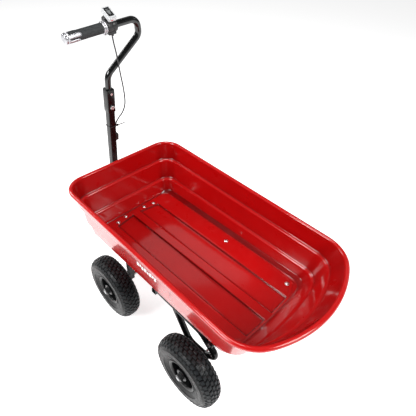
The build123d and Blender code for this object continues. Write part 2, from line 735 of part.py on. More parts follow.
# ---------------------------------------------------------------- drawbar
# These pieces are drawn with the drawbar upright: x and y across it, z the distance along it
# from its hinge. set_drawbar then leans them back and moves them to the hinge.
SLEEVE_RANGE = (501.0, 638.0)
SLEEVE_BOLT_S = 570.0
SLEEVE_SCREW_S = 622.0
TIE_S = 487.0
GLAND_RANGE = (418.0, 444.0)
HANDLE_POINTS = [(0, 545), (0, 684), (-130, 796), (-121, 849), (134, 830)]
HANDLE_RADII = [42.0, 28.0, 30.0]
GRIP_TILT = degrees(atan((849 - 830) / (134 + 121)))


def set_drawbar(shape):
    """Lean a drawbar piece back about the hinge."""
    return Pos(POST_PIVOT_X, 0, POST_PIVOT_Z) * Rot(0, -POST_LEAN, 0) * shape


def grip_frame(y, shape):
    """Place a piece drawn along +Y about the origin onto the handle's top bar at station y."""
    s = 849 - (y + 121) * (849 - 830) / (134 + 121)
    return set_drawbar(Pos(0, y, s) * Rot(-GRIP_TILT, 0, 0) * shape)


def post():
    """Square drawbar tube, drilled for its hinge bolt and the sleeve bolt."""
    half = POST / 2
    bore = POST_BORE / 2
    tube = block(-half, half, -half, half, -10, SLEEVE_RANGE[1] - 2)
    tube -= block(-bore, bore, -bore, bore, -10, SLEEVE_RANGE[1])
    tube += block(-half, half, -half, half, -10, 22)
    tube -= cylinder_y(6.0 + RUNNING, -20, 20)
    tube -= cylinder_x(4.0, -20, 20, 0, SLEEVE_BOLT_S)
    tube -= cylinder_x(2.5, -20, 0, 0, SLEEVE_SCREW_S)
    tube = fillet(tube.edges().filter_by(Axis.Y).group_by(Axis.Z)[0], 8)
    return set_drawbar(tube)


def handle_sleeve():
    """Square collar over the post's top, its mouth closed round the handle tube."""
    half = SLEEVE / 2
    low, high = SLEEVE_RANGE
    bore = POST / 2
    collar = block(-half, half, -half, half, low, high)
    collar = fillet(collar.edges().filter_by(Axis.Z), 2.5)
    collar -= block(-bore, bore, -bore, bore, low, high - 2)
    collar -= cylinder_z(HANDLE_R, low, high + 1)
    collar -= cylinder_x(4.0, -20, 20, 0, SLEEVE_BOLT_S)
    collar -= cylinder_x(2.5, -20, 0, 0, SLEEVE_SCREW_S)
    return set_drawbar(collar)


def sleeve_bolts():
    """Round slotted cross bolt with its nut, and the small locking screw above it."""
    face = SLEEVE / 2
    bolt = cylinder_x(4.0, -face, face + 9, 0, SLEEVE_BOLT_S)
    head = cylinder_x(8.0, -face - 5, -face, 0, SLEEVE_BOLT_S)
    head = fillet(head.edges().filter_by(GeomType.CIRCLE).sort_by(Axis.X)[0], 2.5)
    head -= block(-face - 6, -face - 3.4, -9, 9, SLEEVE_BOLT_S - 1, SLEEVE_BOLT_S + 1)
    nut = Rot(0, 0, 90) * hexagon_y(13.0, -face - 7, -face, 0, SLEEVE_BOLT_S)
    screw = cylinder_x(2.5, -face, -HANDLE_R - 0.2, 0, SLEEVE_SCREW_S)
    screw += cylinder_x(4.5, -face - 3, -face, 0, SLEEVE_SCREW_S)
    return set_drawbar(Compound([bolt + head + nut, screw]))


def handle_tube():
    """Cranked round tube: out of the sleeve, sideways, over and back across the cart."""
    points = [(0, y, s) for y, s in HANDLE_POINTS]
    tube = swept_rod(points, HANDLE_RADII, HANDLE_R)
    tube -= swept_rod(points, HANDLE_RADII, HANDLE_BORE_R)
    tube -= cylinder_x(4.0, -20, 20, 0, SLEEVE_BOLT_S)
    return set_drawbar(tube)


GRIP_RANGE = (9.0, 122.0)
GRIP_R = 16.0
END_CAP_Y = 137.0


def grip_rubber():
    """Rubber twist grip that turns on the handle tube."""
    low, high = GRIP_RANGE
    body = ring_y(GRIP_R, HANDLE_R + RUNNING + 0.04, 0, high - low)
    return grip_frame(low, body)


def grip_end():
    """Bright end cap with two fingers along the grip, closing the tube's end."""
    length = END_CAP_Y - GRIP_RANGE[1]
    cap = cylinder_y(GRIP_R + 0.5, 0, length)
    cap = fillet(cap.edges().filter_by(GeomType.CIRCLE).sort_by(Axis.Y)[-1], 6)
    cap -= cylinder_y(HANDLE_R + 0.1, -1, length - 2.5)
    fingers = ring_y(GRIP_R + 1.6, GRIP_R + 0.05, -40, 0.5)
    keep = block(-20, 20, -41, 1, -5, 5)
    fingers = fingers & keep
    link = ring_y(GRIP_R + 1.6, GRIP_R - 1, 0, 3)
    return grip_frame(GRIP_RANGE[1], cap + link + fingers)


def throttle_ring():
    """Bright collar between the twist grip and the housing."""
    return grip_frame(-4.0, ring_y(18.5, HANDLE_R + 0.1, 0, 12.5))


HOUSING_Y = -39.0
BUTTON_Y = 25.0
BUTTON_Z = 17.0
BUTTON_R = 5.0
DISPLAY_TILT = 24.0
DISPLAY_SIZE = (46.0, 27.0, 15.0)


def throttle_housing():
    """Clamped control housing: cable boss below, display stand on top, button pod in front."""
    body = cylinder_y(19.0, 0, 34)
    body += block(-12, 12, 3, 31, -24, -15)
    body += block(-13, 13, 4, 30, 10, 40) - display_place(block(-60, 60, -60, 60, -7.5, 60))
    body += block(0, 20, BUTTON_Y - 8, BUTTON_Y + 8, 0, BUTTON_Z + 7)
    body -= display_place(Box(DISPLAY_SIZE[0], DISPLAY_SIZE[1], DISPLAY_SIZE[2]))
    body -= cylinder_x(BUTTON_R + RUNNING, 12, 21, BUTTON_Y, BUTTON_Z)
    body -= cylinder_y(HANDLE_R, -1, 36)
    return grip_frame(HOUSING_Y, body)


def start_button():
    """Push button, pressed rearwards into its pod."""
    return grip_frame(HOUSING_Y, cylinder_x(BUTTON_R, 15.5, 24, BUTTON_Y, BUTTON_Z))


def display_place(shape):
    """Tilt a display piece, drawn level about the origin, over the housing."""
    return Pos(0, 17, 34) * Rot(0, -DISPLAY_TILT, 0) * shape


def display_case():
    """Rectangular display case tilted towards the cart."""
    case = Box(*DISPLAY_SIZE)
    case = fillet(case.edges().filter_by(Axis.Z), 4)
    case -= Pos(2, 0, 7.5) * Box(34, 19, 3)
    return grip_frame(HOUSING_Y, display_place(case))


def display_window():
    """Dark window let into the display case."""
    return grip_frame(HOUSING_Y, display_place(Pos(2, 0, 6.6) * Box(34, 19, 1.2)))


# Control cable, by hand: across, along Y, and along the drawbar. It leaves the housing's boss,
# passes behind the sloping tube, swings out past the sleeve and is tied to the post's right face.
CABLE_R = 2.3
CABLE_POINTS = [
    (-5, -24, 814), (-6, -26.5, 792), (-11, -31, 762), (-16.5, -34.5, 722), (-16, -41, 682),
    (-12, -51, 640), (-8, -59, 598), (-6, -62, 560), (-6, -51, 530), (-7, -26, 510),
    (-6, -15.2, 490), (-3, -15.2, 465), (0, -18.5, 444),
]


def cable_radii(points):
    """Largest tangent arc that each corner's two runs allow."""
    radii = []
    corners = [Vector(*point) for point in points]
    for before, corner, after in zip(corners, corners[1:], corners[2:]):
        first = corner - before
        second = after - corner
        half_turn = radians(first.get_angle(second) / 2)
        radii.append(0.45 * min(first.length, second.length) / tan(half_turn))
    return radii


def gland_block():
    """Block of the moulded cable entry, before its edges are rounded."""
    return block(-9, 9, -26, -POST / 2, *GLAND_RANGE)


def control_cable():
    """Throttle cable from the housing to the gland on the post."""
    radii = cable_radii(CABLE_POINTS)
    print("cable radii", [round(radius, 1) for radius in radii])
    cable = swept_rod(CABLE_POINTS, radii, CABLE_R)
    return set_drawbar(cable - gland_block())


def cable_gland():
    """Moulded cable entry on the post's right face."""
    body = gland_block()
    body = fillet(body.edges().filter_by(Axis.Z).group_by(Axis.Y)[0], 4)
    return set_drawbar(body)


def cable_tie():
    """Plastic tie round the post and the cable, with its head and tail."""
    half = POST / 2
    low, high = TIE_S - 2, TIE_S + 2
    outer = block(-half - 1.4, half + 1.4, -half - 6.6, half + 1.4, low, high)
    inner = block(-half, half, -half - 5.2, half, low, high)
    band = outer - inner
    head = block(-half - 1.4, -half + 4.6, -half - 11, -half - 6.6, TIE_S - 3, TIE_S + 3)
    tail = block(-half, -half + 1.2, -half - 40, -half - 11, low + 0.5, high - 0.5)
    cable = swept_rod(CABLE_POINTS, cable_radii(CABLE_POINTS), CABLE_R)
    return set_drawbar(band + head + tail - cable)


# ---------------------------------------------------------------- write every node
write("tray", tray())
write("tray_bolts", tray_bolts())
write("cradle_bars", Compound([cradle_bar(MID_BOLT_X), cradle_bar(REAR_BOLT_X)]))
write("pivot_lugs", Compound([pivot_lug(1), pivot_lug(-1)]))
write("latch_keeper", latch_keeper())

for side_name, side in (("left", 1), ("right", -1)):
    write(f"frame_hoop_{side_name}", frame_hoop(side))
    write(f"gear_case_{side_name}", gear_case(side))

write("cross_members", Compound([
    cross_member(CROSS_FRONT_X, SPINE_Z[0] + 2, HOOP_Y + TUBE_R),
    cross_member(CROSS_REAR_X, HOOP_TOP_Z - BAR / 2, HOOP_Y - TUBE_R),
    motor_hanger(),
]))
write("frame_spine", frame_spine())
write("head_plate", head_plate())
write("latch_bolt", latch_bolt())
write("latch_knob", latch_knob())
write("kingpin", kingpin())
write("axle_bushes", axle_bushes())
write("hinge_rod", hinge_rod())
write("rest_pads", rest_pads())
write("battery_case", battery_case())
write("battery_lid", battery_lid())
write("batteries", batteries())
write("battery_straps", battery_straps())
write("controller", controller())
write("motor", motor())
write("motor_pinion", motor_pinion())
write("axle_gear", axle_gear())

rear_half = REAR_WHEEL_Y + AXLE_END
front_half = FRONT_WHEEL_Y + AXLE_END
write("rear_axle", cylinder_y(AXLE_R, -rear_half, rear_half, REAR_AXLE_X, AXLE_Z))
write("front_axle", cylinder_y(AXLE_R, -front_half, front_half, FRONT_AXLE_X, AXLE_Z))
write("rear_axle_fittings", axle_fittings(
    REAR_AXLE_X, REAR_WHEEL_Y, HOOP_Y + BUSH_HALF + GAP, REAR_WHEEL_Y - HUB_HALF))
write("front_axle_fittings", axle_fittings(
    FRONT_AXLE_X, FRONT_WHEEL_Y, FORK_Y + BAR / 2, FRONT_WHEEL_Y - HUB_HALF - GAP))

for side_name, side in (("left", 1), ("right", -1)):
    front = wheel_place(FRONT_AXLE_X, side * FRONT_WHEEL_Y)
    rear = wheel_place(REAR_AXLE_X, side * REAR_WHEEL_Y)
    write(f"tyre_front_{side_name}", front * tyre())
    write(f"rim_front_{side_name}", front * rim(BEARING_R))
    write(f"rim_bolts_front_{side_name}", front * rim_bolts())
    write(f"bearings_front_{side_name}", front * bearings())
    write(f"tyre_rear_{side_name}", rear * tyre())
    write(f"rim_rear_{side_name}", rear * rim(AXLE_R))
write("rim_bolts_rear", Compound([
    wheel_place(REAR_AXLE_X, side * REAR_WHEEL_Y) * rim_bolts() for side in (1, -1)
]))

write("steering_fork", Compound([fork_crossbar(), fork_leg(1), fork_leg(-1)]))
write("tongue", Compound([tongue_arm(1), tongue_arm(-1), tongue_stop()]))
write("drawbar_pivot_bolt", drawbar_pivot_bolt())
write("drawbar_post", post())
write("handle_sleeve", handle_sleeve())
write("sleeve_bolts", sleeve_bolts())
write("handle_tube", handle_tube())
write("grip_rubber", grip_rubber())
write("grip_end", grip_end())
write("throttle_ring", throttle_ring())
write("throttle_housing", throttle_housing())
write("start_button", start_button())
write("display_case", display_case())
write("display_window", display_window())
write("control_cable", control_cable())
write("cable_gland", cable_gland())
write("cable_tie", cable_tie())
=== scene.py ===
"""Looks of the motorised garden cart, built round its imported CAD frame.

Metres. +X points forward to the drawbar, +Y to the cart's left and +Z up.
"""

import json
import random
from math import asin, atan, cos, pi, radians, sin, sqrt, tan, tau

import bmesh
import bpy
from mathutils import Matrix, Vector

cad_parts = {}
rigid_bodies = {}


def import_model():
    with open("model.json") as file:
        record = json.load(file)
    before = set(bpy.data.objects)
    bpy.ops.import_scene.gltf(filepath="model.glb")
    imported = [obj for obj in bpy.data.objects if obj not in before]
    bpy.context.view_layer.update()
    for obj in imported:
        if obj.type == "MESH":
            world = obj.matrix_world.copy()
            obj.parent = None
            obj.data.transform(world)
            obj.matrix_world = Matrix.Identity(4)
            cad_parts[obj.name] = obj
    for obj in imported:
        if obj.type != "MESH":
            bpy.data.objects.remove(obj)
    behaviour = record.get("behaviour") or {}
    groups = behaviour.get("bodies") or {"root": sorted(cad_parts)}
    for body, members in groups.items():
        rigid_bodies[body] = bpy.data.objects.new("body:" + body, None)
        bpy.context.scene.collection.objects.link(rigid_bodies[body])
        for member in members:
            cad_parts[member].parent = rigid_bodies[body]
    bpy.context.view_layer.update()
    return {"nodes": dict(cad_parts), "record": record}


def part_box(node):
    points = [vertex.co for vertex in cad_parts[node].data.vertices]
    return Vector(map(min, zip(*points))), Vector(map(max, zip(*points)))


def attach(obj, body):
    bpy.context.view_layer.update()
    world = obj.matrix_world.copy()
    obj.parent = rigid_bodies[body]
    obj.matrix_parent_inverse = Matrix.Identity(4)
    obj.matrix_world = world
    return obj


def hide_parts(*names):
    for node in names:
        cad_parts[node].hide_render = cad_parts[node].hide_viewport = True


for leftover in list(bpy.data.objects):
    bpy.data.objects.remove(leftover)

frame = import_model()
random.seed(7)


def add_object(name, data):
    """A new object, linked into the scene."""
    made = bpy.data.objects.new(name, data)
    bpy.context.scene.collection.objects.link(made)
    return made


def shift(x, y, z):
    """Matrix of a plain move."""
    return Matrix.Translation((x, y, z))


def polar(radius, y, angle):
    """Point at a radius and an angle about the Y axis."""
    return Vector((radius * cos(angle), y, radius * sin(angle)))


# ---------------- camera
CAMERA_PLACE = Vector((-0.6537, 0.6362, 1.3543))
CAMERA_YAW = radians(-46.2648)
CAMERA_PITCH = radians(40.7479)
CAMERA_ROLL = radians(2.9807)
LENS = 32.35
SHIFT = (0.0099, -0.0157)


def make_camera():
    """Camera at the viewing angle of a product shot from behind, above and to the left."""
    level = cos(CAMERA_PITCH)
    ahead = Vector((level * cos(CAMERA_YAW), level * sin(CAMERA_YAW), -sin(CAMERA_PITCH)))
    right = Vector((sin(CAMERA_YAW), -cos(CAMERA_YAW), 0))
    up = right.cross(ahead)
    side = right * cos(CAMERA_ROLL) + up * sin(CAMERA_ROLL)
    top = up * cos(CAMERA_ROLL) - right * sin(CAMERA_ROLL)
    data = bpy.data.cameras.new("camera")
    data.lens = LENS
    data.shift_x, data.shift_y = SHIFT
    camera = add_object("camera", data)
    turn = Matrix((side, top, -ahead)).transposed().to_4x4()
    camera.matrix_world = Matrix.Translation(CAMERA_PLACE) @ turn
    bpy.context.scene.camera = camera


make_camera()


# ---------------- materials
class Finish:
    """One material: a Principled shader with short helpers for its texture nodes."""

    def __init__(self, name, **values):
        self.material = bpy.data.materials.new(name)
        self.material.use_nodes = True
        self.tree = self.material.node_tree
        self.shader = self.tree.nodes["Principled BSDF"]
        self.place = self.node("ShaderNodeTexCoord").outputs["Object"]
        self.height = None
        for key, value in values.items():
            self.shader.inputs[key.replace("_", " ")].default_value = value

    def node(self, kind, inputs=(), **values):
        """A new node with its properties set and its inputs given a value or linked to a socket."""
        made = self.tree.nodes.new(kind)
        for key, value in values.items():
            setattr(made, key, value)
        for key, value in dict(inputs).items():
            if isinstance(value, bpy.types.NodeSocket):
                self.tree.links.new(value, made.inputs[key])
            else:
                made.inputs[key].default_value = value
        return made

    def feed(self, socket, source):
        """Link a source to one of the shader's sockets."""
        self.tree.links.new(source, self.shader.inputs[socket])

    def noise(self, scale, detail=3.0, rough=0.55, axes=(1, 1, 1)):
        """Noise value from 0 to 1 in object coordinates scaled by axis."""
        mapping = self.node("ShaderNodeMapping", {"Vector": self.place, "Scale": axes})
        inputs = {"Vector": mapping.outputs["Vector"], "Scale": scale, "Detail": detail,
                  "Roughness": rough}
        return self.node("ShaderNodeTexNoise", inputs).outputs["Fac"]

    def cells(self, scale):
        """Distance to the nearest cell centre."""
        inputs = {"Vector": self.place, "Scale": scale}
        return self.node("ShaderNodeTexVoronoi", inputs).outputs["Distance"]

    def geometry(self, name):
        """One output of a geometry node."""
        return self.node("ShaderNodeNewGeometry").outputs[name]

    def z_part(self, source):
        """Z of a vector."""
        return self.node("ShaderNodeSeparateXYZ", {"Vector": source}).outputs["Z"]

    def edges(self, low, high):
        """1 along convex edges, 0 on flat and hollow surfaces."""
        return self.ranged(self.geometry("Pointiness"), low, high)

    def hollows(self, low, high):
        """1 along hollow edges, 0 on flat and convex surfaces; used as the mask of painted shade."""
        return self.ranged(self.geometry("Pointiness"), low, high, 1.0, 0.0)

    def upward(self, low, high):
        """1 where the surface faces up, 0 where it doesn't."""
        return self.ranged(self.z_part(self.geometry("Normal")), low, high)

    def slopes(self, below, fade=0.02):
        """1 on the steep upward slopes that lie under a height, 0 elsewhere; used as the mask of
        painted shade.
        """
        lean = self.z_part(self.node("ShaderNodeTexCoord").outputs["Normal"])
        steep = self.ranged(lean, 0.4, 0.55)
        level = self.ranged(lean, 0.88, 0.95, 1.0, 0.0)
        low = self.ranged(self.z_part(self.place), below - fade, below, 1.0, 0.0)
        return self.product(self.product(steep, level), low)

    def dust(self, low, high, scale, rough=0.7):
        """Patchy dust on surfaces that face up."""
        return self.product(self.upward(low, high), self.noise(scale, 6, rough))

    def ranged(self, source, low, high, to_low=0.0, to_high=1.0):
        """Map a value from one range to another, clamped."""
        inputs = {"Value": source, "From Min": low, "From Max": high, "To Min": to_low,
                  "To Max": to_high}
        return self.node("ShaderNodeMapRange", inputs).outputs["Result"]

    def product(self, first, second):
        """Product of two values."""
        made = self.node("ShaderNodeMath", {0: first, 1: second}, operation="MULTIPLY")
        return made.outputs["Value"]

    def mixed(self, share, first, second):
        """Blend of two colours, each a socket or a colour."""
        first, second = ((*c, 1) if isinstance(c, tuple) else c for c in (first, second))
        made = self.node("ShaderNodeMix", {"Factor": share, 6: first, 7: second}, data_type="RGBA")
        return made.outputs[2]

    def laid(self, tone, colour, mask, low, high, most):
        """A colour laid over a tone as a mask rises from low to high, up to its largest share."""
        return self.mixed(self.ranged(mask, low, high, 0.0, most), tone, colour)

    def colour(self, source):
        """Feed the base colour."""
        self.feed("Base Color", source)

    def roughness(self, source, low, high):
        """Roughness that varies with the middle range of a noise value."""
        self.feed("Roughness", self.ranged(source, 0.3, 0.7, low, high))

    def bump(self, source, depth):
        """Add a bump of the given depth, in metres, over any bump so far."""
        inputs = {"Height": source, "Distance": depth, "Strength": 1.0}
        if self.height:
            inputs["Normal"] = self.height
        self.height = self.node("ShaderNodeBump", inputs).outputs["Normal"]
        self.feed("Normal", self.height)


ORANGE_PEEL = 0.00002
# The red's edge colour is a painted highlight; its hollow and shade colours are painted shade.
RED_DEEP, RED_BRIGHT = (0.4, 0.0014, 0.002), (0.48, 0.003, 0.0035)
RED_EDGE_HIGHLIGHT, RED_HOLLOW_SHADE = (0.64, 0.014, 0.012), (0.06, 0.0003, 0.0004)
RED_SHADE, RED_DUST = (0.09, 0.0004, 0.0006), (0.5, 0.05, 0.045)
FLOOR_SLOPES_BELOW = 0.328
BLACK_DEEP, BLACK_BRIGHT = (0.0015, 0.0017, 0.0019), (0.0045, 0.0048, 0.0052)
BLACK_DUST, BLACK_WEAR = (0.1, 0.095, 0.09), (0.09, 0.085, 0.08)
TYRE_DEEP, TYRE_BRIGHT = (0.001, 0.0013, 0.0015), (0.004, 0.005, 0.0055)
TYRE_RUBBED, TYRE_DUST = (0.018, 0.021, 0.023), (0.13, 0.125, 0.115)


def red_paint():
    """Glossy red powder coat: orange peel, waviness, painted highlights on edges, painted shade in
    hollows and on low steep slopes, light dust.
    """
    finish = Finish("red_paint", Coat_Weight=1.0, Coat_Roughness=0.1, Coat_IOR=1.5,
                    Specular_IOR_Level=0.1)
    tone = finish.mixed(finish.noise(9, 4), RED_DEEP, RED_BRIGHT)
    # Painted highlight: convex edges turn a lighter red.
    tone = finish.mixed(finish.edges(0.51, 0.6), tone, RED_EDGE_HIGHLIGHT)
    # Painted shade: hollow edges turn a much darker red.
    tone = finish.mixed(finish.hollows(0.455, 0.4985), tone, RED_HOLLOW_SHADE)
    # Painted shade: steep upward slopes low in the tray turn a darker red.
    tone = finish.laid(tone, RED_SHADE, finish.slopes(FLOOR_SLOPES_BELOW), 0.0, 1.0, 0.8)
    finish.colour(finish.laid(tone, RED_DUST, finish.dust(0.6, 0.98, 38), 0.45, 0.8, 0.1))
    finish.roughness(finish.noise(16, 5), 0.26, 0.38)
    finish.bump(finish.noise(9, 1), 0.0006)
    finish.bump(finish.noise(750, 2), ORANGE_PEEL)
    return finish.material


def black_paint(name, rough, coat=0.3):
    """Black powder coat with orange peel, dust on its upper faces and thin worn edges."""
    finish = Finish(name, Coat_Weight=coat, Coat_Roughness=0.06, Specular_IOR_Level=0.15)
    tone = finish.mixed(finish.noise(20, 4), BLACK_DEEP, BLACK_BRIGHT)
    tone = finish.laid(tone, BLACK_DUST, finish.dust(0.5, 1.0, 60), 0.4, 0.8, 0.06)
    wear = finish.product(finish.edges(0.56, 0.66), finish.noise(240, 5))
    finish.colour(finish.laid(tone, BLACK_WEAR, wear, 0.45, 0.7, 0.7))
    finish.roughness(finish.noise(30, 5), rough, rough + 0.14)
    finish.bump(finish.noise(900, 2), ORANGE_PEEL)
    finish.bump(finish.noise(70, 3), 0.00012)
    return finish.material


def metal(name, dark, light, rough, grain=(1, 1, 1), marks=500):
    """Bare or plated metal with fine marks and slightly uneven polish."""
    finish = Finish(name, Metallic=1.0)
    finish.colour(finish.mixed(finish.noise(45, 5), dark, light))
    finish.roughness(finish.noise(130, 6, axes=grain), rough, rough + 0.16)
    finish.bump(finish.noise(marks, 4, axes=grain), 0.00003)
    return finish.material


def moulded(name, dark, light, rough, grain=1400, depth=0.00004, **values):
    """Moulded plastic or rubber with a fine texture and slight blotches."""
    finish = Finish(name, **values)
    finish.colour(finish.mixed(finish.noise(55, 5), dark, light))
    finish.roughness(finish.noise(90, 5), rough, rough + 0.15)
    finish.bump(finish.cells(grain), depth)
    finish.bump(finish.noise(26, 3), 0.00025)
    return finish.material


def tyre_rubber():
    """Moulded tyre rubber: dust on top, lighter rubbed block edges and mould mottling."""
    finish = Finish("tyre_rubber", Specular_IOR_Level=0.2)
    tone = finish.mixed(finish.noise(42, 6, 0.65), TYRE_DEEP, TYRE_BRIGHT)
    tone = finish.mixed(finish.edges(0.53, 0.62), tone, TYRE_RUBBED)
    finish.colour(finish.laid(tone, TYRE_DUST, finish.dust(0.2, 1.0, 75, 0.75), 0.35, 0.75, 0.04))
    finish.roughness(finish.noise(80, 5), 0.28, 0.5)
    finish.bump(finish.noise(330, 5, 0.6), 0.00022)
    finish.bump(finish.noise(90, 3), 0.0005)
    return finish.material


def window_glass():
    """Smoked window with a faint smear."""
    finish = Finish("window_glass", Coat_Weight=1.0, Coat_Roughness=0.03)
    finish.colour(finish.mixed(finish.noise(220, 3), (0.004, 0.0045, 0.005), (0.009, 0.0095, 0.01)))
    finish.roughness(finish.noise(120, 4), 0.1, 0.24)
    finish.bump(finish.noise(400, 2), 0.00001)
    return finish.material


RED = red_paint()
BLACK = black_paint("black_paint", 0.2)
HANDLE_BLACK = black_paint("handle_paint", 0.16, coat=1.0)
RIM_BLACK = black_paint("rim_paint", 0.34)
ZINC = metal("zinc_plate", (0.6, 0.61, 0.62), (0.8, 0.8, 0.79), 0.2)
DARK_ZINC = metal("dark_zinc", (0.05, 0.052, 0.055), (0.17, 0.17, 0.17), 0.3)
# Dark red for the painted shadow of a seam on the tray's wall.
SEAM_SHADOW = moulded("seam_shadow", (0.1, 0.004, 0.005), (0.16, 0.006, 0.007), 0.5)
STEEL = metal("turned_steel", (0.36, 0.37, 0.38), (0.56, 0.56, 0.56), 0.28, grain=(1, 9, 1))
BRONZE = metal("bronze", (0.42, 0.25, 0.11), (0.6, 0.4, 0.2), 0.32)
CHROME = metal("chrome", (0.42, 0.42, 0.44), (0.56, 0.56, 0.58), 0.27, marks=900)
CAST = metal("cast_aluminium", (0.3, 0.31, 0.32), (0.48, 0.49, 0.5), 0.42, marks=900)
RUBBER = tyre_rubber()
GRIP = moulded("grip_rubber", (0.01, 0.012, 0.013), (0.026, 0.029, 0.031), 0.5, 1600, 0.00006)
PLASTIC = moulded("black_plastic", (0.006, 0.0065, 0.007), (0.017, 0.018, 0.019), 0.34)
CASING = moulded("casing_plastic", (0.01, 0.0105, 0.011), (0.022, 0.0225, 0.024), 0.42)
WHITE = moulded("white_plastic", (0.5, 0.51, 0.52), (0.58, 0.59, 0.6), 0.2, 1800, 0.00001,
                Coat_Weight=0.5, Coat_Roughness=0.08)
CABLE = moulded("cable_sheath", (0.006, 0.0065, 0.007), (0.016, 0.017, 0.018), 0.3)
GLASS = window_glass()
SEGMENT = moulded("readout_segment", (0.14, 0.15, 0.15), (0.22, 0.23, 0.23), 0.4)
RED_MARK = moulded("red_mark", (0.42, 0.01, 0.012), (0.55, 0.02, 0.02), 0.3)
DECAL = moulded("white_decal", (0.74, 0.72, 0.72), (0.86, 0.85, 0.85), 0.3, 1800, 0.00001)

SLOT_FINISHES = {
    "red_paint": RED, "black_paint": BLACK, "rim_paint": RIM_BLACK, "zinc_steel": ZINC,
    "steel": STEEL, "bronze": BRONZE, "tyre": RUBBER, "rubber": GRIP, "chrome": CHROME,
    "black_plastic": PLASTIC, "cast_aluminium": CAST, "white_plastic": WHITE,
    "dark_window": GLASS, "cable_sheath": CABLE,
}
DARK_PLATED = ("rim_bolts_front_left", "rim_bolts_front_right", "rim_bolts_rear",
               "rear_axle_fittings", "front_axle_fittings", "bearings_front_left",
               "bearings_front_right")


def paint_cad_nodes():
    """Give every CAD node the finish of its material slot, or its own darker plating."""
    for entry in frame["record"]["subparts"]:
        dark = entry["node"] in DARK_PLATED
        materials = frame["nodes"][entry["node"]].data.materials
        materials.clear()
        materials.append(DARK_ZINC if dark else SLOT_FINISHES[entry["material_slot"]])


paint_cad_nodes()


# ---------------- mesh tools
class Shape:
    """Vertices and faces gathered from skins of points."""

    def __init__(self):
        self.points = []
        self.faces = []

    def skin(self, rows, around=False, looped=False, caps=False):
        """Quads between rows of points.

        around closes each row, looped joins the last row to the first and caps closes both ends.
        """
        start = len(self.points)
        width = len(rows[0])
        for row in rows:
            self.points.extend(row)
        for i in range(len(rows) - (not looped)):
            below = start + i * width
            above = start + (i + 1) % len(rows) * width
            for j in range(width - (not around)):
                k = (j + 1) % width
                self.faces.append((below + j, below + k, above + k, above + j))
        if caps:
            last = start + (len(rows) - 1) * width
            self.faces.append(tuple(reversed(range(start, start + width))))
            self.faces.append(tuple(range(last, last + width)))

    def moved(self, matrix):
        """The same shape placed by a matrix."""
        made = Shape()
        made.points = [matrix @ Vector(point) for point in self.points]
        made.faces = list(self.faces)
        return made

    def add(self, other):
        """Take in another shape."""
        start = len(self.points)
        self.points.extend(other.points)
        self.faces.extend(tuple(start + i for i in face) for face in other.faces)


def skinned(rows, **options):
    """A new shape made of one skin."""
    made = Shape()
    made.skin(rows, **options)
    return made


def piece(name, shape, body, finish, nodes=(), sharp=38.0, flip=True):
    """Turn a shape into a named object that rides on a body and stands for CAD nodes."""
    mesh = bpy.data.meshes.new(name)
    mesh.from_pydata([tuple(point) for point in shape.points], [], shape.faces)
    for polygon in mesh.polygons:
        polygon.use_smooth = True
    mesh.materials.append(finish)
    cleaner = bmesh.new()
    cleaner.from_mesh(mesh)
    bmesh.ops.remove_doubles(cleaner, verts=cleaner.verts, dist=1e-6)
    bmesh.ops.dissolve_degenerate(cleaner, edges=cleaner.edges, dist=1e-7)
    if flip:
        bmesh.ops.recalc_face_normals(cleaner, faces=cleaner.faces)
    cleaner.to_mesh(mesh)
    cleaner.free()
    mesh.set_sharp_from_angle(angle=radians(sharp))
    made = add_object(name, mesh)
    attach(made, body)
    if nodes:
        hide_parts(*nodes)
    return made


def rounded(points, cut, steps=4, closed=True):
    """Outline with each corner replaced by a curve that starts cut away from it, at most."""
    made = []
    count = len(points)
    for index, point in enumerate(points):
        point = Vector(point)
        if not closed and index in (0, count - 1):
            made.append(point)
            continue
        before = Vector(points[index - 1]) - point
        after = Vector(points[(index + 1) % count]) - point
        size = cut[index] if isinstance(cut, (list, tuple)) else cut
        size = min(size, before.length * 0.48, after.length * 0.48)
        if size < 1e-6:
            made.append(point)
            continue
        start = point + before.normalized() * size
        end = point + after.normalized() * size
        for step in range(steps + 1):
            t = step / steps
            made.append(start * (1 - t) ** 2 + point * 2 * t * (1 - t) + end * t ** 2)
    return made


def lathe(outline, segments=64):
    """Skin of a closed outline of (radius, y) points turned about the Y axis."""
    rows = []
    for step in range(segments):
        angle = tau * step / segments
        rows.append([polar(p[0], p[1], angle) for p in outline])
    return skinned(rows, around=True, looped=True)


def lifted(outline, z):
    """An outline raised by z."""
    return [p + Vector((0, 0, z)) for p in outline]


def rounded_square(half_x, half_y, corner, steps=5):
    """Outline of a rectangle with round corners, in the XY plane."""
    made = []
    for quarter, (sx, sy) in enumerate(((1, 1), (-1, 1), (-1, -1), (1, -1))):
        for step in range(steps + 1):
            angle = pi / 2 * (quarter + step / steps)
            x = sx * (half_x - corner) + corner * cos(angle)
            y = sy * (half_y - corner) + corner * sin(angle)
            made.append(Vector((x, y, 0)))
    return made


def pillow(half_x, half_y, half_z, corner, edge, steps=4):
    """Box with round upright corners and softened top and bottom edges."""
    rows = []
    for step in range(steps + 1):
        angle = pi / 2 * step / steps
        inset = edge * (1 - sin(angle))
        z = -half_z + edge * (1 - cos(angle))
        outline = rounded_square(half_x - inset, half_y - inset, max(corner - inset, 0.0004))
        rows.append(lifted(outline, z))
    rows += [[Vector((p.x, p.y, -p.z)) for p in row] for row in reversed(rows)]
    return skinned(rows, around=True, caps=True)


def bent_path(points, radii, step):
    """Points along straight runs joined by tangent arcs of the given radii."""
    corners = [Vector(p) for p in points]
    path = [corners[0]]
    for before, corner, after, radius in zip(corners, corners[1:], corners[2:], radii):
        first = (corner - before).normalized()
        second = (after - corner).normalized()
        turn = first.angle(second)
        start = corner - first * radius * tan(turn / 2)
        inward = (second - first * first.dot(second)).normalized()
        centre = start + inward * radius
        count = max(2, int(turn / step) + 1)
        for index in range(count + 1):
            angle = turn * index / count
            path.append(centre - inward * radius * cos(angle) + first * radius * sin(angle))
    path.append(corners[-1])
    return path


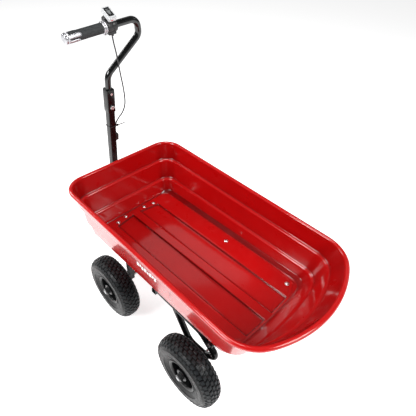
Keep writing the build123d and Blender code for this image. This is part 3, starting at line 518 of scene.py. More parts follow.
def tube(path, radius, sides):
    """Round tube along a path of points, with its section carried along without twist."""
    rows = []
    heading = (path[1] - path[0]).normalized()
    across = heading.orthogonal().normalized()
    for index, point in enumerate(path):
        ahead = path[min(index + 1, len(path) - 1)] - path[max(index - 1, 0)]
        ahead.normalize()
        across = (across - ahead * across.dot(ahead)).normalized()
        up = ahead.cross(across)
        row = []
        for side in range(sides):
            angle = tau * side / sides
            row.append(point + (across * cos(angle) + up * sin(angle)) * radius)
        rows.append(row)
    return skinned(rows, around=True, caps=True)


def hexagon(flats, low, high, edge=0.0008):
    """Hexagon nut or bolt head along Y with chamfered corners."""
    rows = []
    reaches = [(flats / 2 - cut) / cos(pi / 6) for cut in (edge, 0.0, 0.0, edge)]
    for y, reach in zip((low, low + edge, high - edge, high), reaches):
        rows.append([polar(reach, y, tau * (corner + 0.5) / 6) for corner in range(6)])
    return skinned(rows, around=True, caps=True)


# ---------------- frames on the cart
POST_PIVOT = Vector((0.5028, 0, 0.165))
POST_LEAN = atan(0.1065)
DRAWBAR = Matrix.Translation(POST_PIVOT) @ Matrix.Rotation(-POST_LEAN, 4, "Y")
GRIP_TILT = atan(19 / 255)
BAR_TOP = 0.849
BAR_START_Y = -0.121


def bar_place(y):
    """Frame on the handle's top bar at station y, its Y axis along the bar."""
    along = BAR_TOP - (y - BAR_START_Y) * tan(GRIP_TILT)
    return DRAWBAR @ shift(0, y, along) @ Matrix.Rotation(-GRIP_TILT, 4, "X")


# ---------------- control cable
CABLE_RADIUS = 0.0023
CABLE_POINTS = [
    (-0.005, -0.024, 0.814), (-0.006, -0.0265, 0.792), (-0.011, -0.031, 0.762),
    (-0.0165, -0.0345, 0.722), (-0.016, -0.041, 0.682), (-0.012, -0.051, 0.64),
    (-0.008, -0.059, 0.598), (-0.006, -0.062, 0.56), (-0.006, -0.051, 0.53),
    (-0.007, -0.026, 0.51), (-0.006, -0.0152, 0.49), (-0.003, -0.0152, 0.465),
    (0.0, -0.0185, 0.444),
]


def make_cable():
    """Throttle cable from the housing down to the gland on the post, held at both ends."""
    data = bpy.data.curves.new("control_cable_sheath", "CURVE")
    data.dimensions = "3D"
    data.bevel_depth = CABLE_RADIUS
    data.bevel_resolution = 5
    data.resolution_u = 10
    data.use_fill_caps = True
    spline = data.splines.new("NURBS")
    spline.points.add(len(CABLE_POINTS) - 1)
    for point, place in zip(spline.points, CABLE_POINTS):
        point.co = (*(DRAWBAR @ Vector(place)), 1)
    spline.order_u = 3
    spline.use_endpoint_u = True
    data.materials.append(CABLE)
    cable = add_object("control_cable_sheath", data)
    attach(cable, "drawbar")
    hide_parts("control_cable")


make_cable()


# ---------------- tray
TRAY_LOW, TRAY_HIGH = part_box("tray")
FRONT_X = TRAY_HIGH.x
REAR_X = TRAY_LOW.x
BEAD = 0.008
SHEET = 0.0015
FLOOR_REF = Vector((-0.023, 0, 0.2946))
SLOPE = atan(0.0411)
PANEL_DEPTH = 0.005

# Front x, rear x, half width, front and rear corner radii, bow radius of the rear edge,
# height at FLOOR_REF and tilt of each level, from the rim down to the floor.
LEVELS = [
    (FRONT_X - 0.0145, REAR_X + 0.0145, 0.2355, 0.063, 0.112, 0.369, 0.506, 0.0),
    (FRONT_X - 0.021, REAR_X + 0.048, 0.2295, 0.058, 0.096, 0.4, 0.443, 0.01),
    (FRONT_X - 0.03, REAR_X + 0.059, 0.2205, 0.05, 0.088, 0.42, 0.438, 0.01),
    (FRONT_X - 0.037, REAR_X + 0.103, 0.214, 0.046, 0.066, 0.8, 0.361, 0.02),
    (FRONT_X - 0.047, REAR_X + 0.114, 0.2045, 0.038, 0.058, 0.9, 0.354, 0.02),
    (FRONT_X - 0.052, REAR_X + 0.146, 0.199, 0.034, 0.046, 1.4, 0.31, SLOPE),
    (FRONT_X - 0.0573, REAR_X + 0.1593, 0.1797, 0.0287, 0.038, 1.667,
     FLOOR_REF.z + PANEL_DEPTH - SHEET, SLOPE),
    (FRONT_X - 0.0653, REAR_X + 0.1673, 0.1717, 0.0207, 0.03, 1.659,
     FLOOR_REF.z + PANEL_DEPTH - SHEET, SLOPE),
]
# Size of the rounding at each level, from the floor up to the rim.
EDGE_CUTS = [0.0, 0.005, 0.004, 0.0045, 0.0045, 0.0045, 0.0045, 0.0]


class Level:
    """Outline of the tray at one level: straight sides, round corners and a bowed rear edge."""

    def __init__(self, front, rear, half, front_r, rear_r, bow, height, tilt):
        self.front, self.half, self.front_r, self.rear_r = front, half, front_r, rear_r
        self.bow, self.height, self.tilt = bow, height, tilt
        self.bow_x = rear + bow
        self.corner_x = self.bow_x - sqrt((bow - rear_r) ** 2 - (half - rear_r) ** 2)
        self.bow_turn = asin((half - rear_r) / (bow - rear_r))

    def point(self, part, t):
        """Point on the left half of the outline, t running from 0 to 1 along one part."""
        half = self.half
        if part == "bow":
            angle = self.bow_turn * t
            x, y = self.bow_x - self.bow * cos(angle), self.bow * sin(angle)
        elif part == "rear_corner":
            angle = self.bow_turn + (pi / 2 - self.bow_turn) * t
            x = self.corner_x - self.rear_r * cos(angle)
            y = half - self.rear_r + self.rear_r * sin(angle)
        elif part == "side":
            x = self.corner_x + (self.front - self.front_r - self.corner_x) * t
            y = half
        elif part == "front_corner":
            angle = pi / 2 * (1 - t)
            x = self.front - self.front_r + self.front_r * cos(angle)
            y = half - self.front_r + self.front_r * sin(angle)
        else:
            x, y = self.front, (half - self.front_r) * (1 - t)
        return self.tilted(x, y)

    def tilted(self, x, y, lift=0.0):
        """Point of this level's sloping plane over a station x and y."""
        along = x - FLOOR_REF.x
        turned_x = FLOOR_REF.x + along * cos(self.tilt) + lift * sin(self.tilt)
        return Vector((turned_x, y, self.height - along * sin(self.tilt) + lift * cos(self.tilt)))

    def rear_station(self, y):
        """Part and t of the rear edge's point at a distance y from the middle."""
        turn = asin(min(y / self.bow, 1.0))
        if turn <= self.bow_turn:
            return "bow", turn / self.bow_turn
        reach = (y - self.half + self.rear_r) / self.rear_r
        angle = asin(min(max(reach, -1.0), 1.0))
        return "rear_corner", (angle - self.bow_turn) / (pi / 2 - self.bow_turn)

    def front_station(self, y):
        """Part and t of the front edge's point at a distance y from the middle."""
        straight = self.half - self.front_r
        if y <= straight:
            return "front", 1 - y / straight
        angle = asin(min((y - straight) / self.front_r, 1.0))
        return "front_corner", 1 - angle / (pi / 2)


def smooth_step(value, low, high):
    """0 below low, 1 above high and a smooth rise between them."""
    t = min(max((value - low) / (high - low), 0.0), 1.0)
    return t * t * (3 - 2 * t)


PANEL_INNER_Y = 0.018
PANEL_OUTER_Y = 0.103
PANEL_EDGE = 0.0028
PANEL_REAR_X = -0.354
PANEL_FRONT = (0.341, 0.327)


def panel_drop(x, y):
    """Depth of the pressed panels at a floor station, 0 on the rib, the strips and the border."""
    y = abs(y)
    share = (y - PANEL_INNER_Y) / (PANEL_OUTER_Y - PANEL_INNER_Y)
    front = PANEL_FRONT[0] + (PANEL_FRONT[1] - PANEL_FRONT[0]) * min(max(share, 0.0), 1.0)
    across = smooth_step(y, PANEL_INNER_Y - PANEL_EDGE, PANEL_INNER_Y + PANEL_EDGE)
    across *= 1 - smooth_step(y, PANEL_OUTER_Y - PANEL_EDGE, PANEL_OUTER_Y + PANEL_EDGE)
    along = smooth_step(x, PANEL_REAR_X - PANEL_EDGE, PANEL_REAR_X + PANEL_EDGE)
    along *= 1 - smooth_step(x, front - PANEL_EDGE, front + PANEL_EDGE)
    return PANEL_DEPTH * across * along


# Creases that spread from the ends of the side strips, as two ends and a height.
CREASES = [
    ((-0.327, 0.166), (-0.354, 0.112), 0.0022),
    ((-0.327, 0.166), (-0.347, 0.172), 0.0018),
    ((-0.338, 0.074), (-0.356, 0.018), 0.0012),
]
CREASE_WIDTH = 0.0045


def crease_lift(x, y):
    """Height of the pinched creases at a floor station."""
    spot = Vector((x, abs(y)))
    lift = 0.0
    for start, end, height in CREASES:
        start, end = Vector(start), Vector(end)
        along = end - start
        t = min(max((spot - start).dot(along) / along.length_squared, 0.0), 1.0)
        gap = (spot - start - along * t).length / CREASE_WIDTH
        lift += height * (1 - 0.6 * t) * max(0.0, 1 - gap)
    return lift


def tray_rows(floor):
    """Distances from the middle at which the floor has rows of points."""
    rows = [0.0, 0.006, 0.012]
    for edge in (PANEL_INNER_Y, PANEL_OUTER_Y):
        rows += [edge + PANEL_EDGE * k for k in (-1.1, -0.75, -0.4, 0.0, 0.4, 0.75, 1.1)]
    rows += [0.03, 0.04, 0.051, 0.0605, 0.07, 0.081, 0.092, 0.112, 0.12, 0.128, 0.135, 0.142]
    straight = floor.half - floor.front_r
    rows += [straight]
    rows += [straight + floor.front_r * sin(pi / 2 * k / 8) for k in range(1, 9)]
    return sorted(rows)


MIDDLE_COLUMNS = 40
SIDE_STEPS = 56
CURL_STEPS = 16
CURL_TURN = radians(19.0)
FLOOR_FADE = 0.004


def tray_columns(length):
    """Distances from the rear edge at which a floor row has points."""
    rear = [0.0, 0.002, 0.0038, 0.0052, 0.0066, 0.008, 0.01, 0.014, 0.019, 0.025, 0.032, 0.04]
    front = [0.0, 0.005, 0.01, 0.014, 0.017, 0.0195, 0.022, 0.0245, 0.027, 0.0295, 0.032,
             0.0345, 0.037, 0.0395, 0.042, 0.046, 0.052]
    middle = length - rear[-1] - front[-1]
    inner = [rear[-1] + middle * k / MIDDLE_COLUMNS for k in range(1, MIDDLE_COLUMNS)]
    return rear + inner + [length - d for d in reversed(front)]


def outward_at(level, part, t):
    """Direction straight out of the tray at a station of a level's outline."""
    if part == "side":
        return Vector((0, 1, 0))
    if part == "front":
        return Vector((1, 0, 0))
    if part == "front_corner":
        angle = pi / 2 * (1 - t)
        return Vector((cos(angle), sin(angle), 0))
    angle = level.bow_turn * t
    if part == "rear_corner":
        angle = level.bow_turn + (pi / 2 - level.bow_turn) * t
    return Vector((-cos(angle), sin(angle), 0))


def tray_shape():
    """Stepped walls with a rolled rim as a shape, and the panelled floor as rows of points."""
    levels = [Level(*values) for values in LEVELS]
    floor = levels[-1]
    rows = tray_rows(floor)
    stations = [floor.rear_station(y) for y in rows]
    stations += [("side", k / SIDE_STEPS) for k in range(1, SIDE_STEPS)]
    stations += [floor.front_station(y) for y in reversed(rows)]
    curl = BEAD - SHEET
    profiles = []
    for part, t in stations:
        corners = [level.point(part, t) for level in reversed(levels)]
        outward = outward_at(levels[0], part, t)
        centre = corners[-1] + outward * curl
        bead = []
        for step in range(1, CURL_STEPS + 1):
            angle = pi - CURL_TURN * step
            bead.append(centre + outward * curl * cos(angle) + Vector((0, 0, curl * sin(angle))))
        profiles.append(rounded(corners, EDGE_CUTS, closed=False) + bead)
    mirrored = [[Vector((p.x, -p.y, p.z)) for p in row] for row in reversed(profiles)]
    made = skinned(profiles + mirrored[1:-1], looped=True)

    deck = []
    for y in [-y for y in reversed(rows[1:])] + rows:
        rear = floor.point(*floor.rear_station(abs(y)))
        front = floor.point(*floor.front_station(abs(y)))
        length = front.x - rear.x
        if abs(y) > rows[-2]:
            places = [k / SIDE_STEPS * length for k in range(SIDE_STEPS + 1)]
        else:
            places = tray_columns(length)
        row = []
        for place in places:
            x = (rear.x + place - FLOOR_REF.x) / cos(SLOPE) + FLOOR_REF.x
            inside = smooth_step(min(place, length - place), 0.0, FLOOR_FADE)
            lift = (crease_lift(x, y) - panel_drop(x, y)) * inside
            row.append(floor.tilted(x, y, lift))
        deck.append(row)
    return made, deck


def make_tray():
    """The red tray with its sheet thickness."""
    shape, deck = tray_shape()
    inner = deck[1:-1]
    shape.skin([list(reversed(row)) for row in inner])
    for edge, row in ((deck[0], inner[0]), (deck[-1], inner[-1])):
        start = len(shape.points)
        shape.points.extend(edge)
        shape.points.extend(row)
        join_rows(shape, start, len(edge), start + len(edge), len(row), edge is deck[0])
    tray = piece("tray_shell", shape, "tray", RED, ["tray"], sharp=60, flip=False)
    orient_up(tray)
    thickness = tray.modifiers.new("sheet", "SOLIDIFY")
    thickness.thickness = SHEET
    thickness.offset = 1.0
    thickness.use_even_offset = True
    return tray


def join_rows(shape, first, first_count, second, second_count, turned):
    """Triangles between two rows with different numbers of points."""
    i = j = 0
    while i < first_count - 1 or j < second_count - 1:
        step_first = (i + 1) / (first_count - 1) <= (j + 1) / (second_count - 1)
        if (step_first and i < first_count - 1) or j >= second_count - 1:
            corners = (first + i, first + i + 1, second + j)
            i += 1
        else:
            corners = (first + i, second + j + 1, second + j)
            j += 1
        shape.faces.append(corners if turned else tuple(reversed(corners)))


def orient_up(tray):
    """Turn the faces so that the floor's normals point up and the rest follow them."""
    work = bmesh.new()
    work.from_mesh(tray.data)
    bmesh.ops.recalc_face_normals(work, faces=work.faces)
    work.faces.ensure_lookup_table()
    middle = min(work.faces, key=lambda f: (f.calc_center_median() - FLOOR_REF).length)
    if middle.normal.z < 0:
        bmesh.ops.reverse_faces(work, faces=work.faces)
    work.to_mesh(tray.data)
    work.free()


make_tray()


# ---------------- tray bolts
BOLT_PLACES = [(x, side * y) for x, y in ((-0.0318, 0.149), (-0.3181, 0.149), (0.3424, 0.0903),
                                          (0.352, 0.0474)) for side in (1, -1)]
DOME = [(0.0, 0.004), (0.0022, 0.0038), (0.0042, 0.0031), (0.0058, 0.002), (0.0067, 0.001),
        (0.007, 0.0003), (0.007, 0.0), (0.0, 0.0)]
CRADLE_DEPTH = 0.0215
KEEPER_DEPTH = 0.0045
SHANK_R = 0.003
WASHER = [(SHANK_R, -0.0001), (0.0086, -0.0001), (0.0086, 0.0009), (SHANK_R, 0.0009)]
SPACER = [(SHANK_R, -SHEET), (0.0065, -SHEET), (0.0065, 0.0034), (SHANK_R, 0.0034)]
# Radius and reach past the clamped parts at each point of the shank's tip.
SHANK_TIP = [(SHANK_R, 0.0085), (0.0024, 0.009), (0.0, 0.009)]
NUT_FLATS, NUT_HEIGHT = 0.01, 0.005


def on_floor(x, y, lift=0.0):
    """Frame square to the sloping floor, its Y axis along the floor's normal."""
    height = FLOOR_REF.z - tan(SLOPE) * (x - FLOOR_REF.x)
    place = shift(x, y, height) @ Matrix.Rotation(SLOPE, 4, "Y")
    return place @ shift(0, 0, lift) @ Matrix.Rotation(pi / 2, 4, "X")


def make_tray_bolts():
    """Domed bolts on the raised strips, with spacers, washers and nuts under the sheet."""
    shape = Shape()
    for x, y in BOLT_PLACES:
        depth = CRADLE_DEPTH if x < 0 else KEEPER_DEPTH
        place = on_floor(x, y)
        raised = on_floor(x, y, PANEL_DEPTH)
        shape.add(lathe(DOME, 28).moved(raised))
        shape.add(lathe(rounded(WASHER, 0.0003), 28).moved(raised))
        shank = [(0.0, PANEL_DEPTH), (SHANK_R, PANEL_DEPTH)]
        shank += [(radius, -depth - reach) for radius, reach in SHANK_TIP]
        shape.add(lathe(shank, 20).moved(place))
        shape.add(lathe(rounded(SPACER, 0.0004), 24).moved(place))
        shape.add(hexagon(NUT_FLATS, -depth - NUT_HEIGHT, -depth).moved(place))
    piece("tray_bolt_set", shape, "tray", ZINC, ["tray_bolts"])


make_tray_bolts()


# ---------------- wheels
AXLE_Z = 0.13
WHEELS = [
    ("front_left", 0.1988, 0.225, "wheel_front_left"),
    ("front_right", 0.1988, -0.225, "wheel_front_right"),
    ("rear_left", -0.243, 0.24, "rear_axle"),
    ("rear_right", -0.243, -0.24, "rear_axle"),
]
CARCASS = [
    (0.1262, 0.0), (0.1259, 0.008), (0.1247, 0.016), (0.1217, 0.0235), (0.1167, 0.03),
    (0.11, 0.0345), (0.104, 0.0368), (0.1028, 0.038), (0.1012, 0.038), (0.1, 0.0372),
    (0.091, 0.0382), (0.083, 0.0378), (0.0818, 0.0388), (0.08, 0.0386), (0.079, 0.0368),
    (0.072, 0.0342), (0.0665, 0.0318), (0.065, 0.0322), (0.0636, 0.0312), (0.0605, 0.0284),
]
CARCASS_INNER = [(0.052, 0.026), (0.052, 0.017), (0.063, 0.018), (0.079, 0.03), (0.096, 0.032),
                 (0.111, 0.028), (0.12, 0.018), (0.122, 0.0)]
TREAD_PITCHES = 42
# Distance along the section, half width, half length, height, skew and half-pitch offset.
TREAD_ROWS = [
    (0.0, 0.0042, 0.0062, 0.0037, 0.0, 0.0),
    (0.0122, 0.0046, 0.006, 0.0036, 0.35, 0.5),
    (0.0242, 0.0046, 0.0066, 0.0033, -0.3, 0.0),
    (0.0345, 0.0036, 0.0048, 0.0024, 0.0, 0.5),
]
BLOCK_EDGE = 0.0009
BLOCK_ROOT = (-0.0008, 0.0004)
WHISKERS = 9
WHISKER_BEND = 0.05
# Share of the length and thickness at each section of a whisker.
WHISKER_TAPER = ((-0.1, 0.00055), (0.5, 0.0004), (1.0, 0.0002))


def along_carcass(distance):
    """Radius, y and outward normal at a distance along the tyre's section from its crown."""
    side = -1 if distance < 0 else 1
    left = abs(distance)
    for (r0, y0), (r1, y1) in zip(CARCASS, CARCASS[1:]):
        length = sqrt((r1 - r0) ** 2 + (y1 - y0) ** 2)
        if left <= length:
            t = left / length
            normal = Vector(((y1 - y0) / length, side * (r0 - r1) / length))
            return r0 + (r1 - r0) * t, side * (y0 + (y1 - y0) * t), normal
        left -= length
    raise ValueError("past the bead")


def tread_block(distance, angle, row):
    """One tread block with bevelled shoulders, sunk a little into the carcass."""
    half_width, half_length, height, skew = row[1:5]
    rings = (BLOCK_ROOT, (height - BLOCK_EDGE, 0.0), (height, -BLOCK_EDGE))
    rows = []
    for lift, grow in rings:
        ring = []
        for side, end in ((-1, -1), (1, -1), (1, 1), (-1, 1)):
            across = side * (half_width + grow)
            radius, y, normal = along_carcass(distance + across)
            radius += normal.x * lift
            y += normal.y * lift
            turn = angle + (end * (half_length + grow) + skew * across) / radius
            ring.append(polar(radius, y, turn))
        rows.append(ring)
    made = skinned(rows, around=True)
    made.faces.append((8, 9, 10, 11))
    return made


def whisker(angle, distance, length):
    """Thin mould whisker standing on the tyre."""
    radius, y, normal = along_carcass(distance)
    root = Vector((radius, y))
    rows = []
    for t, thick in WHISKER_TAPER:
        centre = root + normal * length * t
        ring = []
        for corner in range(5):
            turn = tau * corner / 5
            side = Vector((-normal.y, normal.x)) * cos(turn) * thick
            spread = sin(turn) * thick / radius
            spot = centre + side
            ring.append(polar(spot.x, spot.y, angle + spread + WHISKER_BEND * t * t))
        rows.append(ring)
    return skinned(rows, around=True, caps=True)


def tyre_shape():
    """Tyre casing with rows of small tread blocks, sidewall rings and mould whiskers."""
    half = CARCASS + CARCASS_INNER
    outline = half + [(r, -y) for r, y in reversed(half) if y > 0]
    made = lathe(outline, 120)
    for row in TREAD_ROWS:
        for side in ((1,) if row[0] == 0 else (1, -1)):
            for index in range(TREAD_PITCHES):
                angle = tau * (index + row[5]) / TREAD_PITCHES
                made.add(tread_block(side * row[0], angle, row))
    for index in range(WHISKERS):
        angle = tau * (index + random.uniform(0.1, 0.9)) / WHISKERS
        made.add(whisker(angle, random.choice((0.041, 0.052)), random.uniform(0.003, 0.0045)))
    return made


RIM_BARREL = [
    (0.052, -0.0285), (0.052, 0.0285), (0.059, 0.03), (0.0602, 0.0312), (0.0596, 0.0324),
    (0.057, 0.0322), (0.052, 0.0302), (0.0494, 0.027), (0.0488, -0.006), (0.0494, -0.027),
    (0.052, -0.0302), (0.057, -0.0322), (0.0596, -0.0324), (0.0602, -0.0312), (0.059, -0.03),
]
RIM_WEB = [
    (0.02, -0.011), (0.0335, -0.011), (0.037, -0.0088), (0.043, -0.008), (0.05, -0.008),
    (0.05, -0.005), (0.044, -0.005), (0.0425, -0.0036), (0.0405, -0.0036), (0.039, -0.0056),
    (0.035, -0.008), (0.02, -0.008),
]
HUB_HALF, HUB_R = 0.03, 0.022
FRONT_BORE, REAR_BORE = 0.0175, 0.008
RIM_ROUNDING = 0.0012
VALVE_RADIUS, VALVE_DEPTH, VALVE_ANGLE = 0.043, -0.003, 2.1
VALVE_STEM = [
    (0.0, -0.006), (0.0042, -0.006), (0.0044, -0.001), (0.0032, 0.001), (0.0027, 0.014),
    (0.0024, 0.015), (0.0024, 0.016), (0.0033, 0.0165), (0.0033, 0.0225), (0.0026, 0.0238),
    (0.0, 0.0238),
]


def rim_shape(bore):
    """Pressed rim with rolled lips, a dished web with a raised ring, and its hub."""
    made = lathe(rounded(RIM_BARREL, RIM_ROUNDING, 2), 72)
    made.add(lathe(rounded(RIM_WEB, RIM_ROUNDING, 2), 72))
    hub = [(bore, -HUB_HALF), (HUB_R, -HUB_HALF), (HUB_R, HUB_HALF), (bore, HUB_HALF)]
    made.add(lathe(rounded(hub, RIM_ROUNDING), 48))
    return made


def valve_shape():
    """Rubber valve stem with its cap, standing out of the dish."""
    place = Matrix.Translation(polar(VALVE_RADIUS, VALVE_DEPTH, VALVE_ANGLE))
    return lathe(VALVE_STEM, 20).moved(place)


def make_wheels():
    """Four wheels, each with its dish outwards."""
    for name, x, y, body in WHEELS:
        spin = Matrix.Rotation(random.uniform(0, tau / TREAD_PITCHES), 4, "Y")
        turn = Matrix.Rotation(0 if y > 0 else pi, 4, "Z")
        place = shift(x, y, AXLE_Z) @ turn
        piece(f"tyre_casing_{name}", tyre_shape().moved(place @ spin), body, RUBBER,
              [f"tyre_{name}"], sharp=34)
        bore = FRONT_BORE if name.startswith("front") else REAR_BORE
        piece(f"rim_pressing_{name}", rim_shape(bore).moved(place), body,
              RIM_BLACK, [f"rim_{name}"])
        piece(f"valve_stem_{name}", valve_shape().moved(place), body, PLASTIC)


make_wheels()


# ---------------- drawbar
POST_HALF, POST_CORNER = 0.0125, 0.0022
# Place along the post and inset of each section, from the rounded foot up.
POST_STEPS = [(-0.01, 0.004), (-0.0085, 0.0015), (-0.006, 0.0002), (0.0, 0.0), (0.2, 0.0),
              (0.4, 0.0), (0.6, 0.0), (0.6345, 0.0), (0.636, 0.001)]
SLEEVE_HALF, SLEEVE_CORNER = 0.015, 0.0028
SLEEVE_LOW, SLEEVE_HIGH = 0.549, 0.638
SLEEVE_STEPS = [(SLEEVE_LOW, 0.0012), (SLEEVE_LOW + 0.0004, 0.0003), (SLEEVE_LOW + 0.0012, 0.0),
                (0.57, 0.0), (0.6, 0.0), (SLEEVE_HIGH - 0.004, 0.0),
                (SLEEVE_HIGH - 0.0018, 0.0006), (SLEEVE_HIGH - 0.0005, 0.0019)]
HANDLE_R = 0.0111
WELD_R, WELD_RIPPLE, WELD_WAVES = 0.0016, 0.00025, 22
WELD_STEPS, WELD_SIDES = 96, 10


def make_post():
    """Square drawbar tube with round corners, its foot rounded for the hinge."""
    rows = [lifted(rounded_square(POST_HALF - inset, POST_HALF, POST_CORNER), along)
            for along, inset in POST_STEPS]
    shape = skinned(rows, around=True, caps=True)
    piece("post_tube", shape.moved(DRAWBAR), "drawbar", BLACK, ["drawbar_post"])


def make_sleeve():
    """Square collar closed onto the handle tube, with a weld bead round the tube."""
    rows = [lifted(rounded_square(SLEEVE_HALF - inset, SLEEVE_HALF - inset, SLEEVE_CORNER), along)
            for along, inset in SLEEVE_STEPS]
    mouth = []
    for p in rows[-1]:
        aim = Vector((p.x, p.y, 0)).normalized() * (HANDLE_R + 0.0004)
        mouth.append(Vector((aim.x, aim.y, SLEEVE_HIGH)))
    shape = skinned(rows + [mouth], around=True, caps=True)
    bead = []
    for step in range(WELD_STEPS):
        angle = tau * step / WELD_STEPS
        thick = WELD_R + WELD_RIPPLE * sin(angle * WELD_WAVES)
        out = Vector((cos(angle), sin(angle), 0))
        centre = Vector((HANDLE_R * out.x, HANDLE_R * out.y, SLEEVE_HIGH))
        turns = [tau * k / WELD_SIDES for k in range(WELD_SIDES)]
        bead.append([centre + out * thick * cos(turn) + Vector((0, 0, thick * sin(turn)))
                     for turn in turns])
    shape.add(skinned(bead, around=True, looped=True))
    piece("sleeve_collar", shape.moved(DRAWBAR), "drawbar", BLACK,
          ["handle_sleeve"])

HANDLE_POINTS = [(0, 0, SLEEVE_HIGH - 0.06), (0, 0, 0.684), (0, -0.13, 0.796),
                 (0, -0.121, 0.849), (0, 0.134, 0.83)]
HANDLE_RADII = [0.042, 0.028, 0.03]


def make_handle():
    """Cranked round tube from the collar up, sideways and back across the cart."""
    path = bent_path(HANDLE_POINTS, HANDLE_RADII, radians(5))
    shape = tube(path, HANDLE_R, 36)
    piece("handle_bar", shape.moved(DRAWBAR), "drawbar", HANDLE_BLACK,
          ["handle_tube"])


def make_gland():
    """Moulded cable entry with strain-relief ribs."""
    shape = pillow(0.009, 0.0067, 0.013, 0.004, 0.0015)
    for rib in range(4):
        ring = pillow(0.0093, 0.007, 0.0007, 0.0042, 0.0006)
        shape.add(ring.moved(shift(0, 0, 0.002 + 0.0027 * rib)))
    place = DRAWBAR @ shift(0, -0.0193, 0.431)
    piece("gland_moulding", shape.moved(place), "drawbar", PLASTIC,
          ["cable_gland"])


make_post()
make_sleeve()
make_handle()
make_gland()


# ---------------- twist grip
GRIP_START, GRIP_END = 0.009, 0.122
GRIP_BODY_R = 0.0151
GRIP_RELIEF = 0.0009
GRIP_COLLAR = 0.004
KNURLS = 26
KNURL_PITCH = tau * 0.0155 / KNURLS
GRIP_AROUND, GRIP_ALONG = 156, 104


def triangle_wave(value):
    """0 at whole numbers and 1 half way between them."""
    return 2 * abs(value - round(value))


def make_grip():
    """Rubber grip with diamond knurling between two plain collars."""
    length = GRIP_END - GRIP_START
    turns = [tau * j / GRIP_AROUND for j in range(GRIP_AROUND)]
    rows = []
    for i in range(GRIP_ALONG + 1):
        y = length * i / GRIP_ALONG
        v = y / KNURL_PITCH
        plain = y < GRIP_COLLAR or y > length - GRIP_COLLAR
        row = []
        for j, angle in enumerate(turns):
            u = KNURLS * j / GRIP_AROUND
            relief = 1.0 if plain else min(1.0, 1.7 * triangle_wave(u + v) * triangle_wave(u - v))
            row.append(polar(GRIP_BODY_R + GRIP_RELIEF * relief, y, angle))
        rows.append(row)
    for y in (length, 0.0):
        rows.append([polar(HANDLE_R + 0.0001, y, angle) for angle in turns])
    shape = skinned(rows, around=True, looped=True)
    piece("grip_sleeve", shape.moved(bar_place(GRIP_START)), "throttle", GRIP,
          ["grip_rubber"], sharp=50)


CAP = [
    (0.0, -0.0005), (0.016, -0.0005), (0.0176, 0.0006), (0.0176, 0.003), (0.016, 0.0042),
    (0.0157, 0.0052), (0.0168, 0.0062), (0.0168, 0.0095), (0.0155, 0.0126), (0.0125, 0.0146),
    (0.007, 0.015), (0.0, 0.015),
]
# Angle round the bar, in degrees, and length of each bright finger.
FINGERS = [(148, 0.04), (212, 0.034), (328, 0.04), (32, 0.034)]
FINGER_SPREAD = radians(25)
FINGER_ROOT = 0.001
FINGER_R, FINGER_RISE = 0.0148, 0.0028
FINGER_ACROSS, FINGER_ALONG = 14, 22


def finger_shape(angle, length):
    """One bright finger lying on the rubber, with a round tip and soft edges."""
    rows = []
    for i in range(FINGER_ALONG + 1):
        t = i / FINGER_ALONG
        y = FINGER_ROOT - t * (length + FINGER_ROOT)
        width = FINGER_SPREAD * (1 - max(0.0, (t - 0.72) / 0.28) ** 2.4) ** 0.5
        row = []
        for j in range(FINGER_ACROSS + 1):
            u = 2 * j / FINGER_ACROSS - 1
            edge = max(0.0, 1 - abs(u) ** 5)
            tip = max(0.0, 1 - t ** 14)
            row.append(polar(FINGER_R + FINGER_RISE * (edge * tip) ** 0.5, y, angle + width * u))
        rows.append(row)
    return skinned(rows)


def make_grip_end():
    """Bright end cap with a groove and four fingers along the grip."""
    shape = lathe(rounded(CAP, 0.0009, 3), 72)
    for angle, length in FINGERS:
        shape.add(finger_shape(radians(angle), length))
    piece("grip_cap", shape.moved(bar_place(GRIP_END)), "throttle", CHROME,
          ["grip_end"], sharp=50)


RING = [
    (0.0113, -0.004), (0.0178, -0.004), (0.0185, -0.003), (0.0185, 0.0006), (0.0177, 0.0014),
    (0.0162, 0.0016), (0.0162, 0.0031), (0.0178, 0.0034), (0.0184, 0.0044), (0.0184, 0.0074),
    (0.0172, 0.0085), (0.0113, 0.0085),
]
CLAMP_SCREW = [(0.0, -0.0048), (0.0019, -0.0048), (0.0021, -0.0044), (0.0021, 0.0), (0.0, 0.0)]


def make_ring():
    """Bright two-part collar with a groove and a small clamp under it."""
    shape = lathe(rounded(RING, 0.0005, 2), 72)
    clamp = pillow(0.0042, 0.004, 0.0034, 0.0012, 0.0008)
    shape.add(clamp.moved(shift(-0.001, 0.001, -0.0196)))
    turn = shift(-0.005, 0.001, -0.0198) @ Matrix.Rotation(-pi / 2, 4, "Z")
    shape.add(lathe(CLAMP_SCREW, 18).moved(turn))
    piece("ring_collar", shape.moved(bar_place(0.0)), "drawbar", CHROME,
          ["throttle_ring"])


make_grip()
make_grip_end()
make_ring()


# ---------------- throttle housing
HOUSING = bar_place(-0.039)
DISPLAY_TURN = radians(-24)
DISPLAY_MOUNT = shift(0, 0.017, 0.034) @ Matrix.Rotation(DISPLAY_TURN, 4, "Y")
DISPLAY = HOUSING @ DISPLAY_MOUNT
HOUSING_BODY = [(0.0112, 0.0), (0.0178, 0.0), (0.019, 0.0012), (0.019, 0.015), (0.0184, 0.0155),
                (0.0184, 0.0165), (0.019, 0.017), (0.019, 0.0328), (0.0178, 0.034),
                (0.0112, 0.034)]
POD_FRONT, POD_Y, POD_Z = 0.02, 0.025, 0.012
POD_HALF_Y, POD_HALF_Z = 0.008, 0.012
BUTTON_Y, BUTTON_Z = 0.025, 0.017
BUTTON_BORE, BORE_DEPTH = 0.0052, 0.0052
BUTTON_RIM = [(BUTTON_BORE, 0.0), (0.007, 0.0), (0.0068, 0.0012), (BUTTON_BORE, 0.0012)]
FACE_FORWARD = Matrix.Rotation(-pi / 2, 4, "Z")


